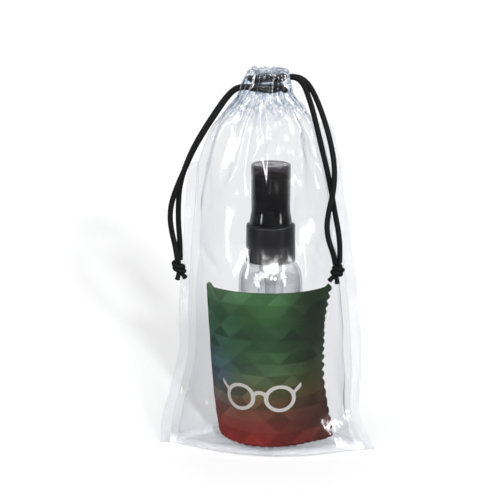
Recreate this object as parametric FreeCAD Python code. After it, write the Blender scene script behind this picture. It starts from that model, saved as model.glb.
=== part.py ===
import FreeCAD, Part
import math
import os

# Lens cleaning kit: a fine-mist spray bottle and a folded cloth in a clear drawstring pouch.
# Millimetres. The origin is on the floor under the bottle's axis, +Z is up, and -Y is the front.

V = FreeCAD.Vector
UP = V(0, 0, 1)

# ---- driving dimensions -------------------------------------------------------------------
FILM = 0.4              # wall of the pouch, with a hair added to the real 0.3 mm film
WELD = 5.0              # width of a welded edge
BASE = 0.6              # height at which the bottle stands, on top of the bottom weld
FIT = 0.06              # radial running clearance between sliding pump parts

BOTTLE_R = 15.5         # 60 ml round bottle
WALL = 0.9
NECK_R = 9.3            # 20 mm neck with a 410 thread
NECK_TOP = 107.0
SHOULDER_Z = 77.0
NECK_Z = 92.8

THREAD_LEAD = 3.18      # eight turns to the inch
THREAD_TURNS = 1.5
THREAD_DEPTH = 0.75
THREAD_ROOT = 1.5       # width of the ridge at its root
THREAD_CREST = 0.8      # width of the ridge at its crest

COLLAR_Z = 93.2
COLLAR_TOP = 111.0
COLLAR_R = 11.9
COLLAR_BORE = 10.4
COLLAR_LID = 1.5

GASKET_H = 0.9
FLANGE_R = 9.6
FLANGE_H = 1.2
HOUSING_R = 5.5
HOUSING_BORE = 4.1
HOUSING_FLOOR = 88.0
BALL_R = 1.5
BALL_SEAT_Z = 83.6
TUBE_R = 1.6
TUBE_BORE = 1.0
TUBE_FOOT = 3.6

STEM_R = 1.9
STEM_BORE = 0.9
PISTON_Z = 98.0
PISTON_H = 4.0
SPRING_R = 3.2
SPRING_WIRE = 0.6
SPRING_SIDES = 8        # the wire is drawn as a prism with this many sides
SPRING_TURNS = 6
TURRET_R = 6.3
TURRET_TOP = 113.0

ACTUATOR_Z = 118.2
ACTUATOR_TOP = 135.0
ACTUATOR_R = 8.2
PRESS = 4.5             # full stroke of the actuator
NOZZLE_R = 2.4
NOZZLE_Z = 129.0

CAP_Z = 111.15
CAP_TOP = 140.0
CAP_R_TOP = 9.5
CAP_R_FOOT = 10.1
CAP_WALL = 0.9

CLOTH_ARC_R = 32.0      # inside radius of the curve in which the cloth stands
CLOTH_AXIS_Y = 16.0
CLOTH_T = 2.3           # four layers
CLOTH_SIDE = 76.0       # a 152 mm cloth folded in quarters

CORD_R = 1.2
HEM_X = -1.8            # centre of the gathered mouth
HEM_R = 11.0
HEM_HOLE = 5.2
HEM_Z = 172.0
HEM_TOP = 184.5
RING_R = 8.1            # how the cords run round inside the hem
RING_TURN = 3.5         # bend with which a cord leaves the ring
STRAND_Y = 1.35         # half the distance between a cord's two ends at its exit
RIGHT_RING_Z = 181.0
LEFT_RING_Z = 176.2
KNOT_R = 3.2

# Height, left seam x and y, right seam x and y, bulge to the front, bulge to the back.
POUCH_SECTIONS = [
    (0.0, -50.0, -0.8, 46.5, -10.5, 13.6, 23.4),
    (16.0, -47.5, -0.5, 39.8, -6.5, 16.2, 21.4),
    (40.0, -41.3, 0.0, 39.6, -3.0, 18.6, 19.4),
    (80.0, -39.3, 0.0, 36.6, -1.0, 19.6, 18.8),
    (120.0, -36.2, 0.0, 31.0, 0.0, 17.0, 16.0),
    (145.0, -33.0, 0.0, 26.4, 0.0, 14.6, 14.6),
    (158.0, -26.5, 0.0, 21.6, 0.0, 13.2, 13.2),
    (HEM_Z, -13.6, 0.0, 11.0, 0.0, 11.6, 11.6),
]
FULLNESS = 0.85         # under 1 makes a panel rise more steeply from its seams
# Width of each welded side edge at the heights above, and the height at which it ends.
LEFT_WELD = ([4.8, 5.4, 5.0, 4.8, 4.8, 4.8, 4.8, 4.8], 141.0)
RIGHT_WELD = ([4.9, 4.4, 5.0, 5.0, 5.0, 5.6, 7.8, 9.0], 160.0)
WELD_CORNER = 3.0       # rounding of a welded edge's top corner
# Routes of the four free cord ends, from the hem to their knot.
RIGHT_BACK_ROUTE = [
    (8.74, 1.35, 181.0), (12.4, 1.35, 181.0), (16.3, 1.0, 178.8), (19.3, 0.2, 174.6),
    (22.2, -1.2, 168.4), (25.4, -3.0, 159.6), (28.2, -4.6, 149.4), (29.9, -6.0, 139.0),
    (29.5, -7.2, 128.8), (27.3, -8.3, 119.6), (26.1, -9.2, 111.4), (27.4, -9.6, 104.0),
    (29.6, -9.3, 98.4), (30.6, -8.9, 93.2),
]
RIGHT_FRONT_ROUTE = [
    (8.74, -1.35, 181.0), (11.0, -1.35, 181.0), (13.4, -1.5, 179.6), (15.4, -1.8, 177.0),
    (17.0, -2.2, 173.0), (19.2, -2.8, 166.4), (21.6, -3.7, 157.0), (24.0, -4.3, 147.0),
    (26.6, -4.4, 136.8), (28.6, -4.5, 126.6), (30.4, -5.0, 116.6), (32.2, -5.9, 107.6),
    (32.9, -6.9, 100.0), (32.6, -7.8, 93.6),
]
LEFT_FRONT_ROUTE = [
    (-12.34, -1.35, 176.2), (-14.9, -1.35, 176.2), (-17.6, -1.8, 174.8), (-20.8, -2.6, 171.6),
    (-25.4, -3.6, 165.0), (-31.0, -4.4, 156.6), (-36.4, -4.8, 147.6), (-40.6, -4.8, 138.2),
    (-44.4, -4.6, 129.6), (-47.2, -4.6, 121.6), (-47.9, -4.6, 114.0), (-46.8, -4.7, 106.6),
    (-45.2, -4.8, 99.8), (-44.5, -4.9, 94.2),
]
LEFT_BACK_ROUTE = [
    (-12.34, 1.35, 176.2), (-15.1, 1.35, 176.2), (-18.0, 1.0, 174.6), (-21.4, 0.4, 171.2),
    (-26.0, -0.2, 164.8), (-31.4, -0.9, 156.6), (-36.6, -1.5, 147.8), (-40.6, -1.9, 138.6),
    (-43.2, -2.1, 129.6), (-43.9, -2.1, 120.8), (-44.0, -2.1, 112.2), (-43.5, -2.2, 104.6),
    (-43.3, -2.4, 98.8), (-43.3, -2.7, 93.8),
]
RIGHT_KNOT = V(31.7, -8.9, 90.0)
LEFT_KNOT = V(-43.9, -3.9, 90.6)


# ---- small helpers ------------------------------------------------------------------------
def save(name, shape):
    """Write one part to its own file."""
    if not shape.isValid() or shape.Volume <= 0:
        print("CHECK THIS SHAPE:", name, shape.isValid(), shape.Volume)
    shape.exportStep("parts/%s.step" % name)
    box = shape.BoundBox
    size = (box.XLength, box.YLength, box.ZLength)
    print("%-26s %9.1f mm3   %6.1f x %6.1f x %6.1f" % ((name, shape.Volume) + size))


def turned(profile):
    """Solid of revolution about Z from a closed list of (radius, height) points."""
    points = [V(r, 0, z) for r, z in profile]
    face = Part.Face(Part.makePolygon(points + points[:1]))
    return face.revolve(V(0, 0, 0), UP, 360)


def disc(radius, low, high, x=0.0, y=0.0):
    return Part.makeCylinder(radius, high - low, V(x, y, low), UP)


def ring(outer, inner, low, high, x=0.0, y=0.0):
    return disc(outer, low, high, x, y).cut(disc(inner, low - 1, high + 1, x, y))


def rounded(shape, radius, wanted):
    """Round the edges for which wanted(edge's bounding box) is true."""
    edges = [edge for edge in shape.Edges if wanted(edge.BoundBox)]
    return shape.makeFillet(radius, edges)


def level_edge(height):
    """Test for edges that lie level at one height."""
    return lambda box: abs(box.ZMin - height) < 1e-3 and abs(box.ZMax - height) < 1e-3


def thread_ridge(radius, depth, start, turns):
    """Helical ridge standing out of (depth > 0) or into (depth < 0) a wall of this radius."""
    helix = Part.makeHelix(THREAD_LEAD, THREAD_LEAD * turns, radius)
    helix.translate(V(0, 0, start))
    sunk = -0.15 if depth > 0 else 0.15
    corners = [
        V(radius + sunk, 0, start - THREAD_ROOT / 2), V(radius + depth, 0, start - THREAD_CREST / 2),
        V(radius + depth, 0, start + THREAD_CREST / 2), V(radius + sunk, 0, start + THREAD_ROOT / 2),
    ]
    section = Part.makePolygon(corners + corners[:1])
    sweep = Part.BRepOffsetAPI.MakePipeShell(helix)
    sweep.setFrenetMode(True)
    sweep.add(section)
    sweep.build()
    sweep.makeSolid()
    return Part.Solid(sweep.shape())


# ---- bottle -------------------------------------------------------------------------------
def shoulder_curve(inset):
    """The bottle's side from its straight wall, over the domed shoulder, to the neck."""
    top = NECK_Z - inset
    points = [
        V(BOTTLE_R - inset, 0, SHOULDER_Z), V(BOTTLE_R - 0.25 - inset, 0, top - 8.6),
        V(BOTTLE_R - 1.3 - inset, 0, top - 4.2), V(BOTTLE_R - 3.4 - inset, 0, top - 1.2),
        V(NECK_R - inset, 0, top),
    ]
    curve = Part.BSplineCurve()
    curve.interpolate(points)
    return curve.toShape()


def vessel(inset, foot, top):
    """Solid with the bottle's outline, made smaller by inset."""
    radius = BOTTLE_R - inset
    bend = 2.0
    low_bend = Part.Arc(
        V(radius - bend, 0, foot), V(radius - bend * (1 - math.sin(math.pi / 4)), 0,
                                     foot + bend * (1 - math.cos(math.pi / 4))),
        V(radius, 0, foot + bend))
    edges = [
        Part.LineSegment(V(0, 0, foot), V(radius - bend, 0, foot)).toShape(),
        low_bend.toShape(),
        Part.LineSegment(V(radius, 0, foot + bend), V(radius, 0, SHOULDER_Z)).toShape(),
        shoulder_curve(inset),
        Part.LineSegment(V(NECK_R - inset, 0, NECK_Z - inset), V(NECK_R - inset, 0, top)).toShape(),
        Part.LineSegment(V(NECK_R - inset, 0, top), V(0, 0, top)).toShape(),
        Part.LineSegment(V(0, 0, top), V(0, 0, foot)).toShape(),
    ]
    return Part.Face(Part.Wire(edges)).revolve(V(0, 0, 0), UP, 360)


def make_bottle():
    hollow = vessel(WALL, BASE + 1.8, NECK_TOP + 1)
    body = vessel(0.0, BASE, NECK_TOP).cut(hollow)
    push_up = turned([(0, BASE - 1), (11.0, BASE - 1), (11.0, BASE), (9.0, BASE + 0.7), (0, BASE + 0.9)])
    body = body.cut(push_up)
    body = body.fuse(thread_ridge(NECK_R, THREAD_DEPTH, 98.2, THREAD_TURNS))
    return body.fuse(ring(NECK_R + 1.4, NECK_R - 0.2, NECK_Z - 0.9, NECK_Z + 0.1))


def make_liquid():
    level = 84.0
    body = vessel(WALL, BASE + 1.8, NECK_Z).common(disc(BOTTLE_R, 0, level))
    body = body.cut(disc(TUBE_R + 0.6, TUBE_FOOT - 1.6, level + 1))
    return body.cut(disc(HOUSING_R + 0.6, 74.0, level + 1))


# ---- closure and pump ---------------------------------------------------------------------
def make_collar():
    body = turned([(0, COLLAR_Z), (COLLAR_R, COLLAR_Z), (COLLAR_R - 0.25, COLLAR_TOP), (0, COLLAR_TOP)])
    body = rounded(body, 0.9, level_edge(COLLAR_TOP))
    body = body.cut(disc(COLLAR_BORE, COLLAR_Z - 1, COLLAR_TOP - COLLAR_LID))
    body = body.cut(disc(TURRET_R + 0.3, COLLAR_TOP - 5, COLLAR_TOP + 1))
    start = 98.2 + THREAD_LEAD / 2 - THREAD_LEAD
    return body.fuse(thread_ridge(COLLAR_BORE, -THREAD_DEPTH, start, THREAD_TURNS))


def make_gasket():
    return ring(NECK_R, NECK_R - 2.2, NECK_TOP, NECK_TOP + GASKET_H)


def make_housing():
    """Pump body hung in the neck: flange, cylinder, tapered foot with the ball's seat, tail."""
    low = NECK_TOP + GASKET_H
    outer = turned([
        (0, 77.0), (2.7, 77.0), (2.7, 82.0), (4.6, 86.0), (HOUSING_R, 88.0), (HOUSING_R, low),
        (FLANGE_R, low), (FLANGE_R, low + FLANGE_H), (0, low + FLANGE_H),
    ])
    inner = turned([
        (0, 76.0), (TUBE_R + 0.02, 76.0), (TUBE_R + 0.02, 81.8), (0.8, 81.8), (0.8, 82.6),
        (BALL_R + 0.25, 84.0), (BALL_R + 0.25, 86.6), (2.2, 86.6), (2.2, HOUSING_FLOOR),
        (HOUSING_BORE, HOUSING_FLOOR), (HOUSING_BORE, low + FLANGE_H + 1), (0, low + FLANGE_H + 1),
    ])
    return outer.cut(inner)


def make_turret():
    """Plug that closes the pump body and guides the stem."""
    low = NECK_TOP + GASKET_H + FLANGE_H
    body = turned([
        (0, low - 4.0), (HOUSING_BORE - 0.02, low - 4.0), (HOUSING_BORE - 0.02, low),
        (TURRET_R, low), (TURRET_R, TURRET_TOP - 0.5), (TURRET_R - 0.5, TURRET_TOP), (0, TURRET_TOP),
    ])
    return body.cut(disc(STEM_R + FIT, low - 6, TURRET_TOP + 1))


def make_dip_tube():
    tube = ring(TUBE_R, TUBE_BORE, TUBE_FOOT, 81.6)
    notch = Part.makeBox(1.0, 6.0, 2.4, V(-0.5, -3.0, TUBE_FOOT - 1.2))
    return tube.cut(notch)


def make_ball():
    return Part.makeSphere(BALL_R, V(0, 0, BALL_SEAT_Z + BALL_R - 0.2))


def make_spring():
    height = PISTON_Z - HOUSING_FLOOR - SPRING_WIRE - 0.1
    low = HOUSING_FLOOR + SPRING_WIRE / 2 + 0.03
    helix = Part.makeHelix(height / SPRING_TURNS, height, SPRING_R)
    helix.translate(V(0, 0, low))
    corners = []
    for i in range(SPRING_SIDES):
        angle = 2 * math.pi * (i + 0.5) / SPRING_SIDES
        corners.append(V(SPRING_R + SPRING_WIRE / 2 * math.cos(angle), 0,
                         low + SPRING_WIRE / 2 * math.sin(angle)))
    wire = Part.makePolygon(corners + corners[:1])
    sweep = Part.BRepOffsetAPI.MakePipeShell(helix)
    sweep.setFrenetMode(True)
    sweep.add(wire)
    sweep.build()
    sweep.makeSolid()
    return Part.Solid(sweep.shape())


def make_piston():
    body = ring(HOUSING_BORE - FIT, STEM_R, PISTON_Z, PISTON_Z + PISTON_H)
    waist = ring(HOUSING_BORE + 1, HOUSING_BORE - 0.5, PISTON_Z + 1.2, PISTON_Z + PISTON_H - 1.2)
    return body.cut(waist)


def make_stem():
    stem = ring(STEM_R, STEM_BORE, PISTON_Z, ACTUATOR_Z + 7.0)
    inlet = Part.makeCylinder(0.5, 6.0, V(-3.0, 0, PISTON_Z + 0.6), V(1, 0, 0))
    return stem.cut(inlet)


def make_actuator():
    body = turned([(0, ACTUATOR_Z), (ACTUATOR_R, ACTUATOR_Z), (ACTUATOR_R - 0.3, ACTUATOR_TOP),
                   (0, ACTUATOR_TOP)])
    body = rounded(body, 2.2, level_edge(ACTUATOR_TOP))
    finger_dish = Part.makeSphere(22.0, V(0, 0, ACTUATOR_TOP + 21.2))
    body = body.cut(finger_dish)
    body = body.cut(ring(ACTUATOR_R - 1.3, 3.6, ACTUATOR_Z - 1, ACTUATOR_Z + 6.0))
    body = body.cut(disc(STEM_R + FIT, ACTUATOR_Z - 1, ACTUATOR_Z + 7.0))
    duct = disc(STEM_BORE, ACTUATOR_Z + 6.5, NOZZLE_Z + 0.6)
    nozzle_hole = Part.makeCylinder(NOZZLE_R, 3.6, V(0, -ACTUATOR_R - 0.5, NOZZLE_Z), V(0, 1, 0))
    spray_duct = Part.makeCylinder(0.6, ACTUATOR_R, V(0, -ACTUATOR_R, NOZZLE_Z), V(0, 1, 0))
    return body.cut(duct).cut(nozzle_hole).cut(spray_duct)


def make_nozzle():
    face = ACTUATOR_R - 0.6
    body = Part.makeCylinder(NOZZLE_R - 0.01, 3.0, V(0, -face - 0.5, NOZZLE_Z), V(0, 1, 0))
    body = body.cut(Part.makeCone(1.5, 0.5, 0.8, V(0, -face - 0.5, NOZZLE_Z), V(0, 1, 0)))
    body = body.cut(Part.makeCylinder(0.25, 3.2, V(0, -face - 0.5, NOZZLE_Z), V(0, 1, 0)))
    reach = disc(ACTUATOR_R - 0.25, NOZZLE_Z - 4, NOZZLE_Z + 4)
    return body.common(reach)


def make_cap():
    waist_z = CAP_Z + 6.0
    body = turned([
        (0, CAP_Z), (CAP_R_FOOT, CAP_Z), (CAP_R_FOOT, CAP_Z + 1.6), (CAP_R_TOP - 0.2, waist_z),
        (CAP_R_TOP, CAP_TOP), (0, CAP_TOP),
    ])
    body = rounded(body, 0.8, level_edge(CAP_TOP))
    inside = turned([
        (0, CAP_Z - 1), (CAP_R_FOOT - CAP_WALL, CAP_Z - 1), (CAP_R_FOOT - CAP_WALL, CAP_Z + 1.6),
        (CAP_R_TOP - 0.2 - CAP_WALL, waist_z), (CAP_R_TOP - CAP_WALL, CAP_TOP - 1.3), (0, CAP_TOP - 1.3),
    ])
    top_dish = ring(CAP_R_TOP - 1.3, 1.2, CAP_TOP - 0.25, CAP_TOP + 1)
    return body.cut(inside).cut(top_dish)


# ---- cloth --------------------------------------------------------------------------------
def make_cloth():
    """The folded cloth as one curved slab, as wide along its middle layer as it is high."""
    low = BASE + 2.4
    half_angle = math.degrees(CLOTH_SIDE / (CLOTH_ARC_R + CLOTH_T / 2) / 2)
    section = Part.Face(Part.makePolygon([
        V(CLOTH_ARC_R, 0, low), V(CLOTH_ARC_R + CLOTH_T, 0, low),
        V(CLOTH_ARC_R + CLOTH_T, 0, low + CLOTH_SIDE), V(CLOTH_ARC_R, 0, low + CLOTH_SIDE),
        V(CLOTH_ARC_R, 0, low)]))
    body = section.revolve(V(0, 0, 0), UP, 2 * half_angle)
    body.rotate(V(0, 0, 0), UP, -90 - half_angle)
    body.translate(V(0, CLOTH_AXIS_Y, 0))
    return rounded(body, 0.9, lambda box: box.ZLength > CLOTH_SIDE - 1 and box.XLength < 0.01)


# ---- pouch --------------------------------------------------------------------------------
def fullness(t):
    """Share of the bulge at a fraction t of the way from seam to seam."""
    return max(math.sin(math.pi * t), 0.0) ** FULLNESS


def section_curve(section, bulge, shift):
    """One level curve of a panel from seam to seam, moved by shift along Y."""
    z, left_x, left_y, right_x, right_y = section[:5]
    spans = 8
    points = []
    for i in range(spans + 1):
        t = i / spans
        across = left_x + (right_x - left_x) * t
        depth = left_y + (right_y - left_y) * t + bulge * fullness(t) + shift
        points.append(V(across, depth, z))
    curve = Part.BSplineCurve()
    curve.interpolate(Points=points, Parameters=[i / spans for i in range(spans + 1)])
    return curve.toShape(), points[0], points[-1]


def panel_section(section, bulge, side):
    """Closed outline of a panel's wall at one level; side is -1 for the front, 1 for the back."""
    outside, left_out, right_out = section_curve(section, side * bulge, side * FILM)
    inside, left_in, right_in = section_curve(section, side * bulge, 0.0)
    right_end = Part.LineSegment(right_out, right_in).toShape()
    left_end = Part.LineSegment(left_in, left_out).toShape()
    return Part.Wire([outside, right_end, inside, left_end])


def panel_floor(bulge, side):
    """The part of a panel that turns under the bottle, up to the bottom weld."""
    section = POUCH_SECTIONS[0]
    curve, left, right = section_curve(section, side * bulge, side * FILM / 2)
    seam = Part.LineSegment(right, left).toShape()
    plate = Part.Face(Part.Wire([curve, seam])).extrude(V(0, 0, FILM))
    weld = bottom_strip()
    span = weld.BoundBox
    between = Part.makeBox(span.XLength - 1, 100.0, 10.0, V(span.XMin + 0.5, -50.0, -5.0))
    return plate.common(between).cut(weld)


def make_panel(side):
    column = 5 if side < 0 else 6
    sections = [panel_section(section, section[column], side) for section in POUCH_SECTIONS]
    wall = Part.makeLoft(sections, True, False)
    return wall.fuse(panel_floor(POUCH_SECTIONS[0][column], side)).removeSplitter()


def bottom_strip():
    """The bottom weld, folded flat under the pouch from corner to corner."""
    z, left_x, left_y, right_x, right_y = POUCH_SECTIONS[0][:5]
    start = V(left_x, left_y, 0)
    end = V(right_x, right_y, 0)
    along = end - start
    along.normalize()
    across = V(-along.y, along.x, 0) * (WELD / 2)
    inset = along * 6.0
    corners = [start + inset - across, end - inset - across, end - inset + across, start + inset + across]
    return Part.Face(Part.makePolygon(corners + corners[:1])).extrude(V(0, 0, BASE))


def make_side_weld(edge, side):
    """Flat welded edge standing out of the seam, as thick as both films."""
    widths, top = edge
    sections = []
    for section, width in zip(POUCH_SECTIONS, widths):
        z, x, y = (section[0],) + (section[1:3] if side < 0 else section[3:5])
        corners = [V(x, y - FILM, z), V(x + side * width, y - FILM, z),
                   V(x + side * width, y + FILM, z), V(x, y + FILM, z)]
        sections.append(Part.makePolygon(corners + corners[:1]))
    strip = Part.makeLoft(sections, True, False)
    strip = strip.cut(Part.makeBox(200, 60, 60, V(-100, -30, top)))

    def top_corner(box):
        return box.XLength < 0.2 and box.ZMin > top - 0.01 and side * box.Center.x > side * x_mid

    x_mid = strip.slice(V(0, 0, 1), top - 0.05)[0].BoundBox.Center.x
    return rounded(strip, WELD_CORNER, top_corner)


def make_hem(side):
    """Half of the gathered hem: a hollow ring round the mouth in which the cords run."""
    outer = ring(HEM_R, HEM_HOLE, HEM_Z, HEM_TOP, HEM_X)
    outer = rounded(outer, 1.6, level_edge(HEM_TOP))
    cavity = ring(HEM_R - FILM, HEM_HOLE + FILM, HEM_Z + FILM, HEM_TOP - FILM, HEM_X)
    cavity = rounded(cavity, 1.2, level_edge(HEM_TOP - FILM))
    slit = STRAND_Y + CORD_R + 0.3
    low_y = -HEM_R - 1 if side < 0 else slit
    half = Part.makeBox(4 * HEM_R, HEM_R + 1 - slit, 40.0, V(HEM_X - 2 * HEM_R, low_y, HEM_Z - 5))
    return outer.cut(cavity).common(half)


# ---- cords --------------------------------------------------------------------------------
def round_section(point, direction):
    return Part.Wire(Part.makeCircle(CORD_R, point, direction))


def swept(path, start, direction):
    tube = path.makePipe(Part.Face(round_section(start, direction)))
    return tube if tube.ShapeType == "Solid" else tube.Solids[0]


def cord_along(name, route):
    """Tube along straight runs joined by arcs as large as the runs allow."""
    points = [V(*p) for p in route]
    edges = []
    radii = []
    here = points[0]
    for i in range(1, len(points) - 1):
        before = points[i] - points[i - 1]
        after = points[i + 1] - points[i]
        cut = 0.45 * min(before.Length, after.Length)
        before.normalize()
        after.normalize()
        half_turn = before.getAngle(after) / 2
        radii.append(cut / math.tan(half_turn))
        arc_start = points[i] - before * cut
        arc_end = points[i] + after * cut
        middle = arc_middle(points[i], before, after, radii[-1], half_turn)
        edges.append(Part.LineSegment(here, arc_start).toShape())
        edges.append(Part.Arc(arc_start, middle, arc_end).toShape())
        here = arc_end
    edges.append(Part.LineSegment(here, points[-1]).toShape())
    path = Part.Wire(edges)
    tube = swept(path, points[0], points[1] - points[0])
    expected = math.pi * CORD_R ** 2 * path.Length
    print("%-26s length %.1f, volume ratio %.4f, radii %s" % (
        name, path.Length, tube.Volume / expected, [round(r, 1) for r in radii]))
    return tube


def arc_middle(corner, before, after, radius, half_turn):
    """Middle point of the arc that rounds a corner of the route."""
    inward = after - before
    inward.normalize()
    return corner + inward * (radius / math.cos(half_turn) - radius)


def cord_in_hem(name, height, side):
    """A cord round the mouth inside the hem; both its ends leave at x = side."""
    reach = RING_R + RING_TURN
    centre_y = STRAND_Y + RING_TURN
    centre_x = math.sqrt(reach ** 2 - centre_y ** 2)
    join = math.atan2(centre_y, centre_x)

    def at(x, y):
        return V(HEM_X + side * x, y, height)

    def bend(sign):
        """Points of the bend from the ring to the exit on one side of the slit."""
        angles = (math.pi + join, (math.pi + join + 1.5 * math.pi) / 2, 1.5 * math.pi)
        return [at(centre_x + RING_TURN * math.cos(a), sign * (centre_y + RING_TURN * math.sin(a)))
                for a in angles]

    first = bend(1)
    last = bend(-1)
    edges = [
        Part.Arc(first[2], first[1], first[0]).toShape(),
        Part.Arc(first[0], at(0, RING_R), at(-RING_R, 0)).toShape(),
        Part.Arc(at(-RING_R, 0), at(0, -RING_R), last[0]).toShape(),
        Part.Arc(last[0], last[1], last[2]).toShape(),
    ]
    path = Part.Wire(edges)
    tube = swept(path, first[2], V(-side, 0, 0))
    expected = math.pi * CORD_R ** 2 * path.Length
    print("%-26s length %.1f, volume ratio %.4f" % (name, path.Length, tube.Volume / expected))
    return tube


def make_knot(centre, lean):
    """Overhand knot as one rounded lump with its two cut ends below."""
    lump = Part.makeSphere(KNOT_R, centre, V(0, 1, 0))
    ends = [
        Part.makeCylinder(CORD_R, 5.8, centre + V(side * 1.3 + lean * 0.3, 0, -1.2),
                          V(side * 0.22 + lean * 0.2, 0, -1))
        for side in (-1, 1)
    ]
    return lump.fuse(ends)


# ---- build --------------------------------------------------------------------------------
def main():
    os.makedirs("parts", exist_ok=True)
    save("bottle", make_bottle())
    save("cleaning_liquid", make_liquid())
    save("screw_collar", make_collar())
    save("neck_gasket", make_gasket())
    save("pump_housing", make_housing())
    save("pump_turret", make_turret())
    save("dip_tube", make_dip_tube())
    save("check_ball", make_ball())
    save("return_spring", make_spring())
    save("pump_piston", make_piston())
    save("pump_stem", make_stem())
    save("spray_actuator", make_actuator())
    save("nozzle_insert", make_nozzle())
    save("overcap", make_cap())
    save("cleaning_cloth", make_cloth())

    save("pouch_front_panel", make_panel(-1))
    save("pouch_back_panel", make_panel(1))
    save("bottom_weld", bottom_strip())
    save("left_side_weld", make_side_weld(LEFT_WELD, -1))
    save("right_side_weld", make_side_weld(RIGHT_WELD, 1))
    save("hem_front", make_hem(-1))
    save("hem_back", make_hem(1))

    save("right_cord_in_hem", cord_in_hem("right_cord_in_hem", RIGHT_RING_Z, 1))
    save("left_cord_in_hem", cord_in_hem("left_cord_in_hem", LEFT_RING_Z, -1))
    tails = {
        "right_cord_back_strand": (RIGHT_BACK_ROUTE, RIGHT_KNOT),
        "right_cord_front_strand": (RIGHT_FRONT_ROUTE, RIGHT_KNOT),
        "left_cord_back_strand": (LEFT_BACK_ROUTE, LEFT_KNOT),
        "left_cord_front_strand": (LEFT_FRONT_ROUTE, LEFT_KNOT),
    }
    knots = {"right_cord_knot": (RIGHT_KNOT, 1), "left_cord_knot": (LEFT_KNOT, 0)}
    lumps = {name: make_knot(*place) for name, place in knots.items()}
    for name, (route, knot) in tails.items():
        strand = cord_along(name, route)
        for lump in lumps.values():
            strand = strand.cut(lump)
        save(name, max(strand.Solids, key=lambda solid: solid.Volume))
    for name, lump in lumps.items():
        save(name, lump)


main()
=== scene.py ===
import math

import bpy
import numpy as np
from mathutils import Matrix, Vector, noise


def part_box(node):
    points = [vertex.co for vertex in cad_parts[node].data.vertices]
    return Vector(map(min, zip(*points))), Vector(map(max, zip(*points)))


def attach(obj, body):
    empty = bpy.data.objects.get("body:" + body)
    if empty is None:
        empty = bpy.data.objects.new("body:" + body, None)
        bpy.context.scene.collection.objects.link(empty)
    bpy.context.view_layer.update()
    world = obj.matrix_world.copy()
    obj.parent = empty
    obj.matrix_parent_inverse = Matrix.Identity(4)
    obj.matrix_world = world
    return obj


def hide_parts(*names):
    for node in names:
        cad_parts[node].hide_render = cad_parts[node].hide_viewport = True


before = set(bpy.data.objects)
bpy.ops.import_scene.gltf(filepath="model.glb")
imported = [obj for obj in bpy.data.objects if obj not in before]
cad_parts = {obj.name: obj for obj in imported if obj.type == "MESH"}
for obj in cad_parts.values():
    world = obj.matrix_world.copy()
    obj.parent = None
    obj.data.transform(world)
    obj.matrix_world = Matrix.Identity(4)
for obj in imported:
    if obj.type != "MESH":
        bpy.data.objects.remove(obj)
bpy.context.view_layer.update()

# %% [markdown]
# A see-through drawstring pouch stands on a table. Inside it are a small pump spray and a
# folded cleaning cloth. The exact frame is loaded already: each of its nodes sits at the
# origin with its place in its mesh. Everything below is worked out in millimetres, because
# that is how such a kit is drawn, and turned into metres when a mesh is made.

MM = 0.001


def deselect_all():
    """Object mode with nothing selected, so that an operator acts on one piece only."""
    if bpy.context.object and bpy.context.object.mode != "OBJECT":
        bpy.ops.object.mode_set(mode="OBJECT")
    bpy.ops.object.select_all(action="DESELECT")


def only(piece):
    """Makes piece the one selected, active object."""
    deselect_all()
    piece.select_set(True)
    bpy.context.view_layer.objects.active = piece


def apply_modifier(piece, kind, **settings):
    """Adds a modifier with these settings and applies it."""
    only(piece)
    modifier = piece.modifiers.new(kind.title(), kind)
    for name, value in settings.items():
        setattr(modifier, name, value)
    bpy.ops.object.modifier_apply(modifier=modifier.name)


def turn_over(piece):
    """Turns a sheet's faces so that they point the other way."""
    only(piece)
    bpy.ops.object.mode_set(mode="EDIT")
    bpy.ops.mesh.select_all(action="SELECT")
    bpy.ops.mesh.flip_normals()
    bpy.ops.object.mode_set(mode="OBJECT")


def smooth(value, painted_light_at_foot, high):
    """0 below low, 1 above high, with a smooth step between; works on arrays too."""
    share = np.clip((value - painted_light_at_foot) / (high - painted_light_at_foot), 0.0, 1.0)
    return share * share * (3 - 2 * share)


def mesh_piece(name, points, faces, uvs=None):
    """A mesh object from points in millimetres; uvs gives one pair for each point."""
    mesh = bpy.data.meshes.new(name)
    mesh.from_pydata((np.asarray(points, dtype=float) * MM).tolist(), [], faces)
    if uvs is not None:
        layer = mesh.uv_layers.new(name="Flat")
        corners = np.zeros(len(mesh.loops), dtype=int)
        mesh.loops.foreach_get("vertex_index", corners)
        layer.data.foreach_set("uv", np.asarray(uvs, dtype=float)[corners].ravel())
    mesh.validate()
    piece = bpy.data.objects.new(name, mesh)
    bpy.context.scene.collection.objects.link(piece)
    for polygon in mesh.polygons:
        polygon.use_smooth = True
    return piece


def grid_faces(rows, columns, around=False):
    """Quads between rows of points; around joins each row's last point to its first."""
    faces = []
    wide = columns if around else columns - 1
    for i in range(rows - 1):
        for j in range(wide):
            k = (j + 1) % columns
            faces.append((i * columns + j, i * columns + k,
                          (i + 1) * columns + k, (i + 1) * columns + j))
    return faces


# %% [markdown]
# The camera comes first, so that every later look is judged from the same place. It stands
# a little above the pouch, 65 cm away, and looks down at it with a long lens, which keeps
# the pouch's sides nearly upright.

# %% Camera
CAMERA_PLACE = (-0.0099, -0.650, 0.257)
CAMERA_DOWN = 13.75
CAMERA_LENS = 100.4

deselect_all()
bpy.ops.object.camera_add(location=CAMERA_PLACE,
                          rotation=(math.radians(90 - CAMERA_DOWN), 0, 0))
camera = bpy.context.object
camera.name = "studio_camera"
camera.data.lens = CAMERA_LENS
camera.data.sensor_width = 36.0
camera.data.clip_start = 0.01
bpy.context.scene.camera = camera
print("camera at", CAMERA_PLACE, "looking down", CAMERA_DOWN, "degrees")

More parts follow.
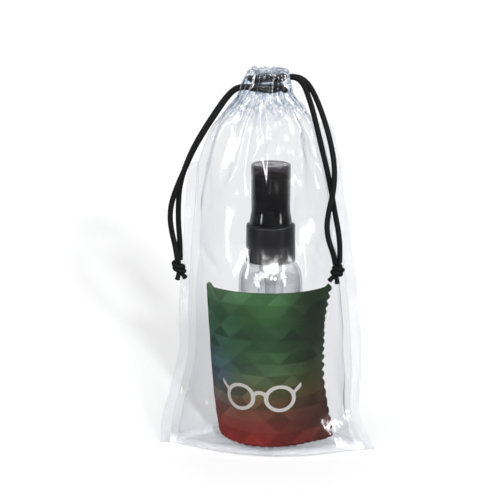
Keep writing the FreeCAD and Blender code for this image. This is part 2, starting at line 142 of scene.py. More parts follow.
# %% [markdown]
# The drawstrings are two limp braided cords, 2.7 mm thick. Each goes once round inside the
# hem and leaves it at one side as two strands, which hang down outside the film and are
# tied together in a knot. A strand's line is a NURBS spline through the air along its route.
# The line could be given a plain round bevel, but a braid has a surface of crossing bundles,
# so a tube is wrapped round the points of that line, and its skin rises and falls with
# the bundles.

# %% Routes of the four strands, in metres
CORD_WIDTH = 2.7
STRANDS = {
    "right_cord_back_strand": [
        (0.00874, 0.00135, 0.181), (0.0124, 0.00135, 0.181), (0.0163, 0.0010, 0.1788),
        (0.0193, 0.0002, 0.1746), (0.0222, -0.0012, 0.1684), (0.0254, -0.0030, 0.1596),
        (0.0282, -0.0046, 0.1494), (0.0299, -0.0060, 0.139), (0.0295, -0.0072, 0.1288),
        (0.0273, -0.0083, 0.1196), (0.0261, -0.0092, 0.1114), (0.0274, -0.0096, 0.104),
        (0.0296, -0.0093, 0.0984), (0.0306, -0.0089, 0.0932)],
    "right_cord_front_strand": [
        (0.00874, -0.00135, 0.181), (0.011, -0.00135, 0.181), (0.0134, -0.0015, 0.1796),
        (0.0154, -0.0018, 0.177), (0.017, -0.0022, 0.173), (0.0192, -0.0028, 0.1664),
        (0.0216, -0.0037, 0.157), (0.024, -0.0043, 0.147), (0.0266, -0.0044, 0.1368),
        (0.0286, -0.0045, 0.1266), (0.0304, -0.0050, 0.1166), (0.0322, -0.0059, 0.1076),
        (0.0329, -0.0069, 0.100), (0.0326, -0.0078, 0.0936)],
    "left_cord_front_strand": [
        (-0.01234, -0.00135, 0.1762), (-0.0149, -0.00135, 0.1762), (-0.0176, -0.0018, 0.1748),
        (-0.0208, -0.0026, 0.1716), (-0.0254, -0.0036, 0.165), (-0.031, -0.0044, 0.1566),
        (-0.0364, -0.0048, 0.1476), (-0.0406, -0.0048, 0.1382), (-0.0444, -0.0046, 0.1296),
        (-0.0472, -0.0046, 0.1216), (-0.0479, -0.0046, 0.114), (-0.0468, -0.0047, 0.1066),
        (-0.0452, -0.0048, 0.0998), (-0.0445, -0.0049, 0.0942)],
    "left_cord_back_strand": [
        (-0.01234, 0.00135, 0.1762), (-0.0151, 0.00135, 0.1762), (-0.018, 0.0010, 0.1746),
        (-0.0214, 0.0004, 0.1712), (-0.026, -0.0002, 0.1648), (-0.0314, -0.0009, 0.1566),
        (-0.0366, -0.0015, 0.1478), (-0.0406, -0.0019, 0.1386), (-0.0432, -0.0021, 0.1296),
        (-0.0439, -0.0021, 0.1208), (-0.044, -0.0021, 0.1122), (-0.0435, -0.0022, 0.1046),
        (-0.0433, -0.0024, 0.0988), (-0.0433, -0.0027, 0.0938)],
}


# %% A line of points read from a smooth spline
def line_from(name, route):
    """Points, in millimetres, of the NURBS spline whose control points are the route."""
    curve = bpy.data.curves.new(name + "_line", "CURVE")
    curve.dimensions = "3D"
    curve.resolution_u = 24
    spline = curve.splines.new("NURBS")
    spline.points.add(len(route) - 1)
    for point, place in zip(spline.points, route):
        point.co = (*place, 1.0)
    spline.order_u = 3
    spline.use_endpoint_u = True
    holder = bpy.data.objects.new(name + "_line", curve)
    bpy.context.scene.collection.objects.link(holder)
    line = bpy.data.meshes.new_from_object(holder)
    points = np.array([vertex.co[:] for vertex in line.vertices]) / MM
    bpy.data.objects.remove(holder)
    bpy.data.meshes.remove(line)
    return points


def evenly(points, step):
    """The same line as points a step apart, its first and last ones kept."""
    along = np.concatenate([[0], np.cumsum(np.linalg.norm(np.diff(points, axis=0), axis=1))])
    count = max(int(round(along[-1] / step)), 4)
    wanted = np.linspace(0, along[-1], count + 1)
    return np.stack([np.interp(wanted, along, points[:, k]) for k in range(3)], axis=1)


# %% The braid's skin
BRAID_AROUND = 32
BRAID_STEP = 0.24
BRAID_PITCH = 5.2
BRAID_BUNDLES = 4
BRAID_DEPTH = 0.25
END_DOME = 0.35
FRAY_LENGTH = 1.6


def braid_height(angle, along):
    """0 to 1: two families of bundles wind opposite ways and pass over each other in turn."""
    one = BRAID_BUNDLES * (angle / (2 * math.pi) + along / BRAID_PITCH)
    other = BRAID_BUNDLES * (angle / (2 * math.pi) - along / BRAID_PITCH)
    on_top = np.cos(math.pi * (np.floor(one + 0.5) + np.floor(other + 0.5)))
    first = np.cos(math.pi * (one - np.floor(one + 0.5))) ** 0.6
    second = np.cos(math.pi * (other - np.floor(other + 0.5))) ** 0.6
    return np.maximum(first * (0.78 + 0.22 * on_top), second * (0.78 - 0.22 * on_top))


def braided_tube(name, points, width=CORD_WIDTH, fray=0.0):
    """A closed tube round a line, with the braid on its skin; a cut end may fray wider."""
    points = evenly(points, BRAID_STEP)
    along = np.arange(len(points)) * BRAID_STEP
    heading = np.gradient(points, axis=0)
    heading /= np.linalg.norm(heading, axis=1)[:, None]
    side = np.cross(heading[0], (0.0, 1.0, 0.0))
    if np.linalg.norm(side) < 0.2:
        side = np.cross(heading[0], (1.0, 0.0, 0.0))
    rings, uvs = [], []
    angle = np.arange(BRAID_AROUND) / BRAID_AROUND * 2 * math.pi
    for i, (centre, way) in enumerate(zip(points, heading)):
        side = side - way * side.dot(way)
        side /= np.linalg.norm(side)
        up = np.cross(way, side)
        bulk = width / 2 + fray * smooth(along[i], along[-1] - FRAY_LENGTH, along[-1])
        radius = bulk - BRAID_DEPTH * (1 - braid_height(angle, along[i]))
        rings.append(centre + radius[:, None] * (np.cos(angle)[:, None] * side
                                                 + np.sin(angle)[:, None] * up))
        uvs.append(np.stack([angle / (2 * math.pi), np.full(BRAID_AROUND, along[i])], axis=1))
    faces = grid_faces(len(rings), BRAID_AROUND, around=True)
    points_all = np.concatenate(rings + [points[:1] - heading[:1] * END_DOME,
                                         points[-1:] + heading[-1:] * END_DOME])
    uv_all = np.concatenate(uvs + [[[0.5, 0.0]], [[0.5, along[-1]]]])
    start, end = len(points_all) - 2, len(points_all) - 1
    last = (len(rings) - 1) * BRAID_AROUND
    for j in range(BRAID_AROUND):
        k = (j + 1) % BRAID_AROUND
        faces.append((k, j, start))
        faces.append((last + j, last + k, end))
    return mesh_piece(name, points_all, faces, uv_all)


# %% The four strands
cords = {}
strand_lines = {}
for name, route in STRANDS.items():
    strand_lines[name] = line_from(name, route)
    cords[name] = braided_tube(name.replace("cord", "braided_cord"), strand_lines[name])
    length = np.linalg.norm(np.diff(strand_lines[name], axis=0), axis=1).sum()
    print(name, "is", round(float(length), 1), "mm long")

# %% [markdown]
# Inside the hem each cord runs once round the gathered mouth. The film is bunched over it,
# so the ring isn't flat: it rises and dips a little from pleat to pleat.

# %% The two rings in the hem
RING_RADIUS = 8.1
RING_CENTRE_X = -1.8
RING_WAVE = 0.3
LEFT_EXIT_X = -12.34
STRAND_APART = 1.35


def ring_line(height, side):
    """Points round the hem from one strand's exit to the other's; side is 1 or -1."""
    gap = math.asin(STRAND_APART / RING_RADIUS)
    turn = np.linspace(gap, 2 * math.pi - gap, 160)
    wave = np.sin((turn - gap) / (2 * math.pi - 2 * gap) * math.pi)
    radius = RING_RADIUS + RING_WAVE * wave * np.sin(7 * turn)
    dip = 0.9 if side > 0 else 0.6
    rise = wave * (0.7 * np.sin(4 * turn + side) + 0.4 * np.sin(3 * turn + 1) - dip)
    ring = np.stack([RING_CENTRE_X + side * radius * np.cos(turn), radius * np.sin(turn),
                     height + rise], axis=1)
    if side < 0:
        ring = np.concatenate([[[LEFT_EXIT_X, STRAND_APART, height]], ring,
                               [[LEFT_EXIT_X, -STRAND_APART, height]]])
    return ring


for name, height, side in (("right_cord_in_hem", 181.0, 1), ("left_cord_in_hem", 176.2, -1)):
    cords[name] = braided_tube(name.replace("cord", "braided_cord"), ring_line(height, side))
    painted_light_at_foot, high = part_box(name)
    print(name, "ring from", [round(c / MM, 1) for c in painted_light_at_foot], "to",
          [round(c / MM, 1) for c in high])

# %% [markdown]
# The two strands of a cord end in one overhand knot, pulled tight, with two short cut ends
# below it. A knot could be a plain lump, but its wraps catch the light, so each strand
# really winds round here: in at the top, nearly twice round, and out at the bottom.

# %% Knots: each one's middle and lean
KNOTS = {"right_cord_knot": ((31.7, -8.9, 90.0), 0.35),
         "left_cord_knot": ((-43.9, -3.9, 90.6), -0.2)}
KNOT_REACH = 1.95
KNOT_TURNS = 1.75
KNOT_CORD_WIDTH = 2.3
KNOT_FRAY = 0.16
KNOT_START = 0.3
KNOT_SHIFT = 0.45


def knot_line(centre, tilt, turn, shift):
    """One strand's way through the knot and out below it."""
    share = np.linspace(0, 1, 90)
    angle = turn + share * 2 * math.pi * KNOT_TURNS
    reach = KNOT_REACH * smooth(share, 0.0, 0.16) * (1 - smooth(share, 0.86, 1.0)) + 0.12
    drop = 2.0 - 4.0 * share + shift
    wind = np.stack([reach * np.cos(angle), 0.92 * reach * np.sin(angle),
                     drop + 0.75 * np.sin(angle + tilt * 6) * reach / KNOT_REACH], axis=1)
    lead_in = np.array([[0.6 * math.cos(turn), 0.5 * math.sin(turn), 3.4]])
    outward = math.cos(turn + 2.6)
    cut_end = np.array([[1.1 * outward, -0.3, -3.6], [1.7 * outward, -0.5, -4.8],
                        [2.1 * outward, -0.6, -5.9]])
    line = np.concatenate([lead_in, wind, cut_end])
    for _ in range(3):
        line[1:-1] = (line[:-2] + 2 * line[1:-1] + line[2:]) / 4
    lean = np.array([[math.cos(tilt), 0, math.sin(tilt)], [0, 1, 0],
                     [-math.sin(tilt), 0, math.cos(tilt)]])
    return line @ lean.T + np.array(centre)


for name, (centre, tilt) in KNOTS.items():
    ways = [("_a", KNOT_START, KNOT_SHIFT), ("_b", KNOT_START + math.pi, -KNOT_SHIFT)]
    halves = [braided_tube(name + end, knot_line(centre, tilt, turn, shift), KNOT_CORD_WIDTH, KNOT_FRAY)
              for end, turn, shift in ways]
    deselect_all()
    for half in halves:
        half.select_set(True)
    bpy.context.view_layer.objects.active = halves[0]
    bpy.ops.object.join()
    halves[0].name = name.replace("cord", "tied_cord")
    cords[name] = halves[0]
    print(name, "wraps", round(KNOT_REACH * 2 + KNOT_CORD_WIDTH, 1), "mm across")

# %% [markdown]
# Materials are small graphs of shader nodes. Helpers keep them readable: one adds a node and
# fills its sockets, and the others make the few nodes that nearly every finish needs. A
# plain number is set on the socket itself; a link is only made where a pattern really
# varies over the surface.


# %% Helpers for materials
def new_material(name):
    """A material with an empty graph."""
    material = bpy.data.materials.new(name)
    material.use_nodes = True
    material.node_tree.nodes.clear()
    return material


def add(material, kind, sockets=None, **settings):
    """Adds a shader node. Settings are its own; sockets hold numbers, colours or links."""
    node = material.node_tree.nodes.new("ShaderNode" + kind)
    for name, value in settings.items():
        setattr(node, name, value)
    for name, value in (sockets or {}).items():
        if isinstance(value, bpy.types.NodeSocket):
            material.node_tree.links.new(value, node.inputs[name])
        else:
            node.inputs[name].default_value = value
    return node


def calc(material, operation, *values):
    """A math node's result; values are numbers or links."""
    return add(material, "Math", dict(enumerate(values)), operation=operation).outputs[0]


def blend_colours(material, share, first, second, how="MIX"):
    """A colour between two colours, or one laid on the other."""
    node = add(material, "Mix", data_type="RGBA", blend_type=how)
    for index, value in ((0, share), (6, first), (7, second)):
        if isinstance(value, bpy.types.NodeSocket):
            material.node_tree.links.new(value, node.inputs[index])
        else:
            node.inputs[index].default_value = value
    return node.outputs[2]


def ramp(material, share, stops):
    """A colour ramp with stops of (position, colour)."""
    node = add(material, "ValToRGB", {"Fac": share})
    elements = node.color_ramp.elements
    while len(elements) < len(stops):
        elements.new(0.5)
    for element, (position, colour) in zip(elements, stops):
        element.position = position
        element.color = colour
    return node.outputs["Color"]


def spread(material, value, painted_light_at_foot, high, to_low=0.0, to_high=1.0, ease=False):
    """Carries values from one range to another; ease makes a smooth step of it."""
    return add(material, "MapRange",
               {"Value": value, "From Min": painted_light_at_foot, "From Max": high, "To Min": to_low, "To Max": to_high},
               interpolation_type="SMOOTHSTEP" if ease else "LINEAR").outputs["Result"]


def object_coords(material):
    """A point's own place on its piece, in metres."""
    return add(material, "TexCoord").outputs["Object"]


def height_above_floor(material):
    """A point's height, in metres."""
    return add(material, "SeparateXYZ", {"Vector": object_coords(material)}).outputs["Z"]


def flat_map(material):
    """A point's place on the piece's own flat map."""
    return add(material, "UVMap", uv_map="Flat").outputs["UV"]


def stretched(material, place, scale, **sockets):
    """Coordinates made longer or shorter along each axis."""
    return add(material, "Mapping", {"Vector": place, "Scale": scale, **sockets}).outputs["Vector"]


def speckle(material, place, scale, detail=2.0, roughness=0.5, distortion=0.0):
    """Noise from 0 to 1; scale is in lumps to one unit of place."""
    return add(material, "TexNoise", {"Vector": place, "Scale": scale, "Detail": detail,
                                      "Roughness": roughness, "Distortion": distortion}).outputs["Fac"]


def finish_material(material, surface):
    """Joins the finished surface to the output."""
    add(material, "OutputMaterial", {"Surface": surface})
    return material


def bumped(material, height, distance, strength=1.0):
    """A bump from a height in 0 to 1; distance in metres."""
    return add(material, "Bump", {"Height": height, "Distance": distance,
                                  "Strength": strength}).outputs["Normal"]


def paint(piece, material):
    """Gives a piece, or a node of the frame, one material in every slot."""
    if not piece.material_slots:
        piece.data.materials.append(material)
    for slot in piece.material_slots:
        slot.material = material


# %% [markdown]
# The cord is black polyester. Its colour is nearly flat, so the life is in fine fibres that
# run along each bundle and in a soft sheen. The fibres follow the cord's own map, in which
# one axis runs round it and the other along it in millimetres.

# %% Black braided cord
def black_cord():
    """Nearly black, with fibres that run along the braid's bundles."""
    material = new_material("black_braided_cord")
    place = stretched(material, flat_map(material), (9.0, 2.4, 1.0))
    fibres = speckle(material, place, 4.0, 5.0, 0.7)
    colour = ramp(material, fibres, [(0.25, (0.0015, 0.0014, 0.0018, 1)),
                                     (0.75, (0.0060, 0.0056, 0.0066, 1))])
    shader = add(material, "BsdfPrincipled", {
        "Base Color": colour, "Roughness": 0.6, "Specular IOR Level": 0.11,
        "Sheen Weight": 0.01, "Sheen Roughness": 0.5,
        "Normal": bumped(material, fibres, 0.00012, 0.7)})
    return finish_material(material, shader.outputs["BSDF"])


cord_material = black_cord()
for piece in cords.values():
    paint(piece, cord_material)
print(cord_material.name, "on", len(cords), "pieces")

# %% [markdown]
# The pump's black and white parts are moulded plastic. A mould leaves a fine, even texture,
# and handling adds faint uneven gloss. Both could be painted, but noise on object
# coordinates stays at its real size on every part: grains of about a third of a millimetre
# in plastic, and twice that in the gasket's foam.


# %% Moulded plastics
def moulded(name, dark, light, roughness, grain=3200.0, depth=0.00002, specular=0.5):
    """Plastic or foam out of a mould: cloudy colour and gloss, with a fine grain."""
    material = new_material(name)
    place = object_coords(material)
    cloud = speckle(material, place, 160.0, 3.0)
    fine = speckle(material, place, grain)
    colour = blend_colours(material, cloud, dark, light)
    gloss = spread(material, cloud, 0.3, 0.7, roughness - 0.05, roughness + 0.07)
    shader = add(material, "BsdfPrincipled", {
        "Base Color": colour, "Roughness": gloss, "Specular IOR Level": specular,
        "Normal": bumped(material, fine, depth, 0.6)})
    return finish_material(material, shader.outputs["BSDF"])


black_plastic = moulded("black_moulded_plastic", (0.0040, 0.0036, 0.0048, 1),
                        (0.0066, 0.0060, 0.0078, 1), 0.34, specular=0.3)
white_plastic = moulded("white_moulded_plastic", (0.74, 0.75, 0.76, 1), (0.82, 0.82, 0.81, 1), 0.4)
white_foam = moulded("white_foam", (0.78, 0.78, 0.75, 1), (0.88, 0.88, 0.86, 1), 0.85, 1500.0, 0.00008)
print("moulded:", black_plastic.name, white_plastic.name, white_foam.name)

# %% [markdown]
# The spring and the check ball are steel. Drawing leaves fine lines along a wire, which in a
# coil run round its axis, and the ball is polished nearly bright. One plain metal would look
# like paint, so noise varies the gloss and colour a little. For the spring it is squeezed
# along the axis, so that its lumps lie as lines round the coil.


# %% Drawn wire and polished ball
def bright_steel(name, colour, roughness, stretch):
    """Steel with noise in its gloss; a large last number in stretch lays it in lines."""
    material = new_material(name)
    lines = speckle(material, stretched(material, object_coords(material), stretch), 900.0, 3.0)
    gloss = spread(material, lines, 0.0, 1.0, roughness * 0.7, roughness * 1.4)
    tone = blend_colours(material, lines, colour, tuple(c * 0.86 for c in colour[:3]) + (1,))
    shader = add(material, "BsdfPrincipled", {
        "Base Color": tone, "Metallic": 1.0, "Roughness": gloss,
        "Normal": bumped(material, lines, 0.00001, 0.5)})
    return finish_material(material, shader.outputs["BSDF"])


spring_steel = bright_steel("drawn_spring_wire", (0.56, 0.57, 0.6, 1), 0.3, (1, 1, 6))
ball_steel = bright_steel("polished_ball", (0.7, 0.7, 0.72, 1), 0.12, (1, 1, 1))
print("steel:", spring_steel.name, ball_steel.name)

# %% [markdown]
# Clear film, clear bottle, liquid and smoked cap all let what is behind them show. A full
# glass shader bends light, which thin film hardly does, and it makes soft shadows noisy.
# So each of them is a see-through shader with a mirror laid over it. The mirror's share
# rises steeply at a glancing angle, as on any clear plastic, and so does the tint, because
# a slanting look passes through more material.


# %% Clear plastics
def clear_plastic(name, tint, edge_tint, mirror, roughness, normal, haze=None, haze_share=0.0,
                  edge_power=3.0):
    """See-through plastic. Its tint is a colour seen straight on, with edge_tint at a glancing
    angle, or a function that makes the colour. normal makes its waves, haze is a cloudy colour."""
    material = new_material(name)
    facing = add(material, "LayerWeight", {"Blend": 0.5}).outputs["Facing"]
    edge = calc(material, "POWER", facing, edge_power)
    if callable(tint):
        colour = tint(material, edge)
    else:
        colour = blend_colours(material, edge, tint, edge_tint)
    see = add(material, "BsdfTransparent", {"Color": colour}).outputs["BSDF"]
    if haze is not None:
        cloudy = add(material, "BsdfDiffuse", {"Color": haze}).outputs["BSDF"]
        if callable(haze_share):
            haze_share = haze_share(material)
        see = add(material, "MixShader", {0: haze_share, 1: see, 2: cloudy}).outputs["Shader"]
    gloss = add(material, "BsdfGlossy", {"Color": (1, 1, 1, 1), "Roughness": roughness,
                                         "Normal": normal(material)})
    share = calc(material, "MULTIPLY_ADD", calc(material, "POWER", facing, 5.0),
                 1 - mirror, mirror)
    shader = add(material, "MixShader", {0: share, 1: see, 2: gloss.outputs["BSDF"]})
    return finish_material(material, shader.outputs["Shader"])


def soft_ripples(scale, distance, detail=2.0, stretch=(1, 1, 1)):
    """The slow waves that moulded or blown plastic has, as a function of its material."""
    def normal(material):
        place = stretched(material, object_coords(material), stretch)
        return bumped(material, speckle(material, place, scale, detail, 0.55), distance)
    return normal


bottle_plastic = clear_plastic("clear_bottle_plastic", (0.965, 0.967, 0.973, 1), (0.42, 0.43, 0.46, 1),
                               0.055, 0.04, soft_ripples(90.0, 0.0012, 3.0, (1, 1, 0.6)))
cleaning_liquid = clear_plastic("cleaning_liquid", (0.975, 0.98, 0.985, 1), (0.58, 0.60, 0.64, 1),
                                0.02, 0.02, soft_ripples(40.0, 0.0006))


def smoked_tint(material, edge):
    """Smoke grey, darker where the cap's wall is thick at its foot."""
    foot = spread(material, height_above_floor(material), 0.1175, 0.1195, 0.8, 0.0)
    colour = blend_colours(material, edge, (0.47, 0.455, 0.48, 1), (0.16, 0.15, 0.17, 1))
    return blend_colours(material, foot, colour, (0.16, 0.15, 0.165, 1))


smoke_plastic = clear_plastic("smoked_cap_plastic", smoked_tint, None, 0.045, 0.09,
                              soft_ripples(70.0, 0.0002))
milky_tube = clear_plastic("milky_tube_plastic", (0.72, 0.73, 0.74, 1), (0.5, 0.5, 0.52, 1),
                           0.04, 0.25, soft_ripples(120.0, 0.0001),
                           haze=(0.8, 0.81, 0.82, 1), haze_share=0.35)
print("see-through:", bottle_plastic.name, cleaning_liquid.name, smoke_plastic.name, milky_tube.name)

# %% [markdown]
# The bottle, the pump's parts and the cap are rigid, and the frame has them at their true
# sizes. They could be made again here, but that could only move them away from those
# sizes, so they keep their meshes and only take a finish.

# %% The frame's own nodes that keep their shape
KEPT_SHAPES = {
    "bottle": bottle_plastic, "cleaning_liquid": cleaning_liquid, "dip_tube": milky_tube,
    "screw_collar": black_plastic, "spray_actuator": black_plastic, "nozzle_insert": black_plastic,
    "overcap": smoke_plastic, "neck_gasket": white_foam, "pump_housing": white_plastic,
    "pump_turret": white_plastic, "pump_piston": white_plastic, "pump_stem": white_plastic,
    "check_ball": ball_steel, "return_spring": spring_steel,
}
for name, material in KEPT_SHAPES.items():
    paint(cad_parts[name], material)
print(len(KEPT_SHAPES), "rigid nodes keep their shape")

# %% [markdown]
# The cleaning cloth is a 152 mm square of printed microfibre, folded in quarters. It
# stands curved round the bottle, between it and the film, with its folds at the top and on
# the left and its pinked edges on the right and at the bottom. It could be simulated, but
# a cloth folded by a machine has flat, even layers, so every point of the flat square is
# carried to its place by the two folds, and the curve of the stack is laid on top.

# %% The two folds
CLOTH_SIDE = 152.0
CLOTH_STEPS = 200
CLOTH_THICK = 0.42
INNER_GAP = 0.27
OUTER_GAP = 0.56


def folded(place, gap):
    """Distance from a fold and the offset and turn there, for a place along the sheet."""
    bend = place / gap
    curved = np.abs(bend) < math.pi / 2
    away = np.where(curved, gap * (1 - np.cos(bend)), np.abs(place) - gap * (math.pi / 2 - 1))
    offset = np.where(curved, gap * np.sin(bend), np.sign(place) * gap)
    turn = np.clip(bend, -math.pi / 2, math.pi / 2)
    return away, offset, turn


steps = np.linspace(-CLOTH_SIDE / 2, CLOTH_SIDE / 2, CLOTH_STEPS + 1)
across_flat, down_flat = np.meshgrid(steps, steps)
from_left, inner_offset, _ = folded(across_flat, INNER_GAP)
from_top, outer_offset, outer_turn = folded(down_flat, OUTER_GAP)
print("cloth folded to", round(float(from_left.max()), 1), "by", round(float(from_top.max()), 1), "mm")

# %% Pinked edges
PINK_PITCH = 4.1
PINK_FROM, PINK_TO = 71.5, 75.2
near_right = smooth(from_left, PINK_FROM, PINK_TO)
near_bottom = smooth(from_top, PINK_FROM, PINK_TO)
layer = np.sign(across_flat) * 0.9 + np.sign(down_flat) * 0.4
from_left = from_left + near_right * 0.8 * np.sin(2 * math.pi * from_top / PINK_PITCH + layer)
from_top = from_top + near_bottom * 0.35 * np.sin(2 * math.pi * from_left / PINK_PITCH + layer)
print("teeth along an edge:", round(CLOTH_SIDE / 2 / PINK_PITCH))

# %% The curve of the stack: its radius at some heights, left and right of the middle
CLOTH_TOP = 80.6
CLOTH_FRONT = -17.35
CORNER_FORWARD = 5.2
LEFT_CURVE = [(4, 24.8), (20, 26.5), (40, 29.0), (60, 31.0), (81, 33.0)]
RIGHT_CURVE = [(4, 31.0), (20, 28.5), (38, 25.4), (52, 25.0), (66, 26.6), (81, 30.5)]


def between(pairs, where):
    """Values on a smooth curve through (place, value) pairs."""
    places, values = (np.array(column, dtype=float) for column in zip(*pairs))
    slopes = np.gradient(values, places)
    where = np.clip(where, places[0], places[-1])
    painted_light_at_foot = np.clip(np.searchsorted(places, where) - 1, 0, len(places) - 2)
    high = painted_light_at_foot + 1
    wide = places[high] - places[painted_light_at_foot]
    t = (where - places[painted_light_at_foot]) / wide
    return ((2 * t**3 - 3 * t**2 + 1) * values[painted_light_at_foot] + (t**3 - 2 * t**2 + t) * wide * slopes[painted_light_at_foot]
            + (3 * t**2 - 2 * t**3) * values[high] + (t**3 - t**2) * wide * slopes[high])


def bumps(points, scale, seed, octaves=3):
    """Noise from -1 to 1 at points in millimetres; scale is the size of a lump."""
    offset = Vector((seed * 17.3, seed * 5.1, seed * 9.7))
    return np.array([noise.fractal(Vector(point) / scale + offset, 0.9, 2.0, octaves,
                                   noise_basis="PERLIN_ORIGINAL")
                     for point in np.asarray(points, dtype=float).tolist()])


column = from_left - CLOTH_SIDE / 4
height = CLOTH_TOP - from_top
curve = np.where(column < 0, between(LEFT_CURVE, height), between(RIGHT_CURVE, height))
bend = column / curve
stack_x = curve * np.sin(bend)
stack_y = CLOTH_FRONT + curve * (1 - np.cos(bend))
stack_y = stack_y - CORNER_FORWARD * smooth(column, 18, 38) * (1 - smooth(height, 14, 46))
normal_x, normal_y = np.sin(bend), -np.cos(bend)
print("stack from x", round(float(stack_x.min()), 1), "to", round(float(stack_x.max()), 1), "mm")

# %% Ear, sag and small waves of the stack
EAR = 1.7
SAG = 0.9
FOOT_LIFT = 3.6
ear = EAR * np.exp(-((column + 36.5) / 2.1) ** 2) * smooth(height, 66, 80)
sag = -SAG * (np.abs(column) / 38) ** 2.0 * smooth(height, 30, 80)
foot_lift = FOOT_LIFT * np.exp(-((column + 38) / 4.5) ** 2) * smooth(-height, -16, -4)
waves = bumps(np.stack([column, height, 0 * column], axis=-1).reshape(-1, 3), 19.0, 3, 2)
waves = waves.reshape(column.shape)
edge_curl = 0.5 * np.sin(height / 7.3 + 0.6) * smooth(column, 26, 38)
scallop_depth = 0.5 + 0.3 * np.sin(height / 5.3)
scallops = scallop_depth * np.sin(2 * math.pi * height / PINK_PITCH + 0.8 * np.sin(height / 9))
edge_curl = edge_curl + scallops * smooth(column, 34, 37.5)
push = 0.42 * waves + edge_curl
layers = -outer_offset + inner_offset * np.sin(-outer_turn)
top_tilt = inner_offset * np.cos(outer_turn)
shown_by_back = np.where(down_flat > 0, 1.0, 0.0) * 0.9 * smooth(from_top, 4, 20)
cloth_points = np.stack([stack_x + normal_x * (layers + push),
                         stack_y + normal_y * (layers + push),
                         height + ear + sag + foot_lift + top_tilt - shown_by_back], axis=-1)

# %% One closed sheet
cloth_uv = np.stack([across_flat + CLOTH_SIDE / 2, down_flat + CLOTH_SIDE / 2], axis=-1)
cloth = mesh_piece("folded_cleaning_cloth", cloth_points.reshape(-1, 3),
                   grid_faces(CLOTH_STEPS + 1, CLOTH_STEPS + 1),
                   cloth_uv.reshape(-1, 2) / CLOTH_SIDE)
apply_modifier(cloth, "SOLIDIFY", thickness=CLOTH_THICK * MM, offset=0.0)
print("cloth has", len(cloth.data.polygons), "faces")

# %% [markdown]
# The cloth's print is an all-over pattern of flat triangles in rows. Each triangle takes
# one colour from a slow fade, green at the top, grey-blue at the left, and dark red at the
# foot, and is a little lighter or darker than its neighbours. The fade's dark right column
# is print darkened with painted shade, where the pinked edge curls away from the light, and
# the light top of the left column is a painted highlight along the top fold. A small pair
# of spectacles, in off-white, stands for the mark that a shop would print. Everything is
# worked out from the cloth's own flat map, so the print follows the folds.

# %% Where a point lies in the rows of triangles
ROW_HIGH = 5.8
TRIANGLE_WIDE = 12.0


def print_places(material):
    """Distances from the left fold and from the top fold, in millimetres."""
    parts = add(material, "SeparateXYZ", {"Vector": flat_map(material)})
    return [calc(material, "ABSOLUTE", calc(material, "MULTIPLY_ADD", parts.outputs[axis],
                                            CLOTH_SIDE, -CLOTH_SIDE / 2)) for axis in "XY"]


def triangles(material, left, down):
    """A chance number from 0 to 1 for each triangle, and how far down its row's middle is."""
    row_place = calc(material, "DIVIDE", down, ROW_HIGH)
    row = calc(material, "FLOOR", row_place)
    in_row = calc(material, "FRACT", row_place)
    shift = calc(material, "MULTIPLY", calc(material, "FLOORED_MODULO", row, 2.0), 0.5)
    along = calc(material, "ADD", calc(material, "DIVIDE", left, TRIANGLE_WIDE), shift)
    cell = calc(material, "FLOOR", along)
    in_cell = calc(material, "FRACT", along)
    from_middle = calc(material, "ABSOLUTE", calc(material, "MULTIPLY_ADD", in_cell, 2.0, -1.0))
    points_up = calc(material, "LESS_THAN", from_middle, in_row)
    right_half = calc(material, "GREATER_THAN", in_cell, 0.5)
    pointing_down = calc(material, "SUBTRACT", 1.0, points_up)
    number = calc(material, "ADD", cell, calc(material, "MULTIPLY", pointing_down,
                                              calc(material, "ADD", right_half, 40.5)))
    key = add(material, "CombineXYZ", {"X": number, "Y": row, "Z": points_up})
    random_tone = add(material, "TexWhiteNoise", {"Vector": key.outputs["Vector"]},
                      noise_dimensions="3D").outputs["Value"]
    middle_down = calc(material, "MULTIPLY", calc(material, "ADD", row, 0.5), ROW_HIGH)
    return random_tone, middle_down


# %% The fade behind the triangles
def srgb(red, green, blue, gain=1.0):
    """A linear colour from one given as 0 to 255; gain makes it lighter or darker."""
    linear = []
    for part in (red, green, blue):
        part = part / 255
        part = part / 12.92 if part <= 0.04045 else ((part + 0.055) / 1.055) ** 2.4
        linear.append(min(part * gain, 1.0))
    return (*linear, 1.0)


PRINT_GAIN = 0.85
# The left fade's first stop is a painted highlight along the top fold; the rest of it is print.
LEFT_FADE = [(0.00, (96, 124, 94)), (0.06, (62, 96, 69)), (0.22, (50, 88, 61)), (0.36, (47, 76, 65)),
             (0.48, (58, 85, 90)), (0.60, (66, 82, 94)), (0.70, (96, 92, 86)), (0.80, (116, 76, 67)),
             (0.90, (128, 50, 43)), (1.00, (150, 40, 37))]
MIDDLE_FADE = [(0.00, (65, 101, 64)), (0.06, (60, 97, 57)), (0.16, (48, 81, 45)), (0.28, (39, 66, 43)),
               (0.40, (50, 81, 50)), (0.52, (65, 89, 62)), (0.62, (76, 81, 53)), (0.74, (91, 64, 46)),
               (0.86, (97, 43, 36)), (1.00, (121, 33, 29))]
# The right fade is print darkened with painted shade, where the pinked edge curls away from the light.
RIGHT_PRINT_AND_PAINTED_SHADE = [(0.00, (29, 51, 27)), (0.10, (22, 40, 24)), (0.28, (22, 39, 24)), (0.44, (33, 49, 28)),
              (0.56, (52, 58, 30)), (0.66, (57, 49, 31)), (0.78, (64, 40, 30)), (0.90, (72, 35, 28)),
              (1.00, (89, 28, 24))]


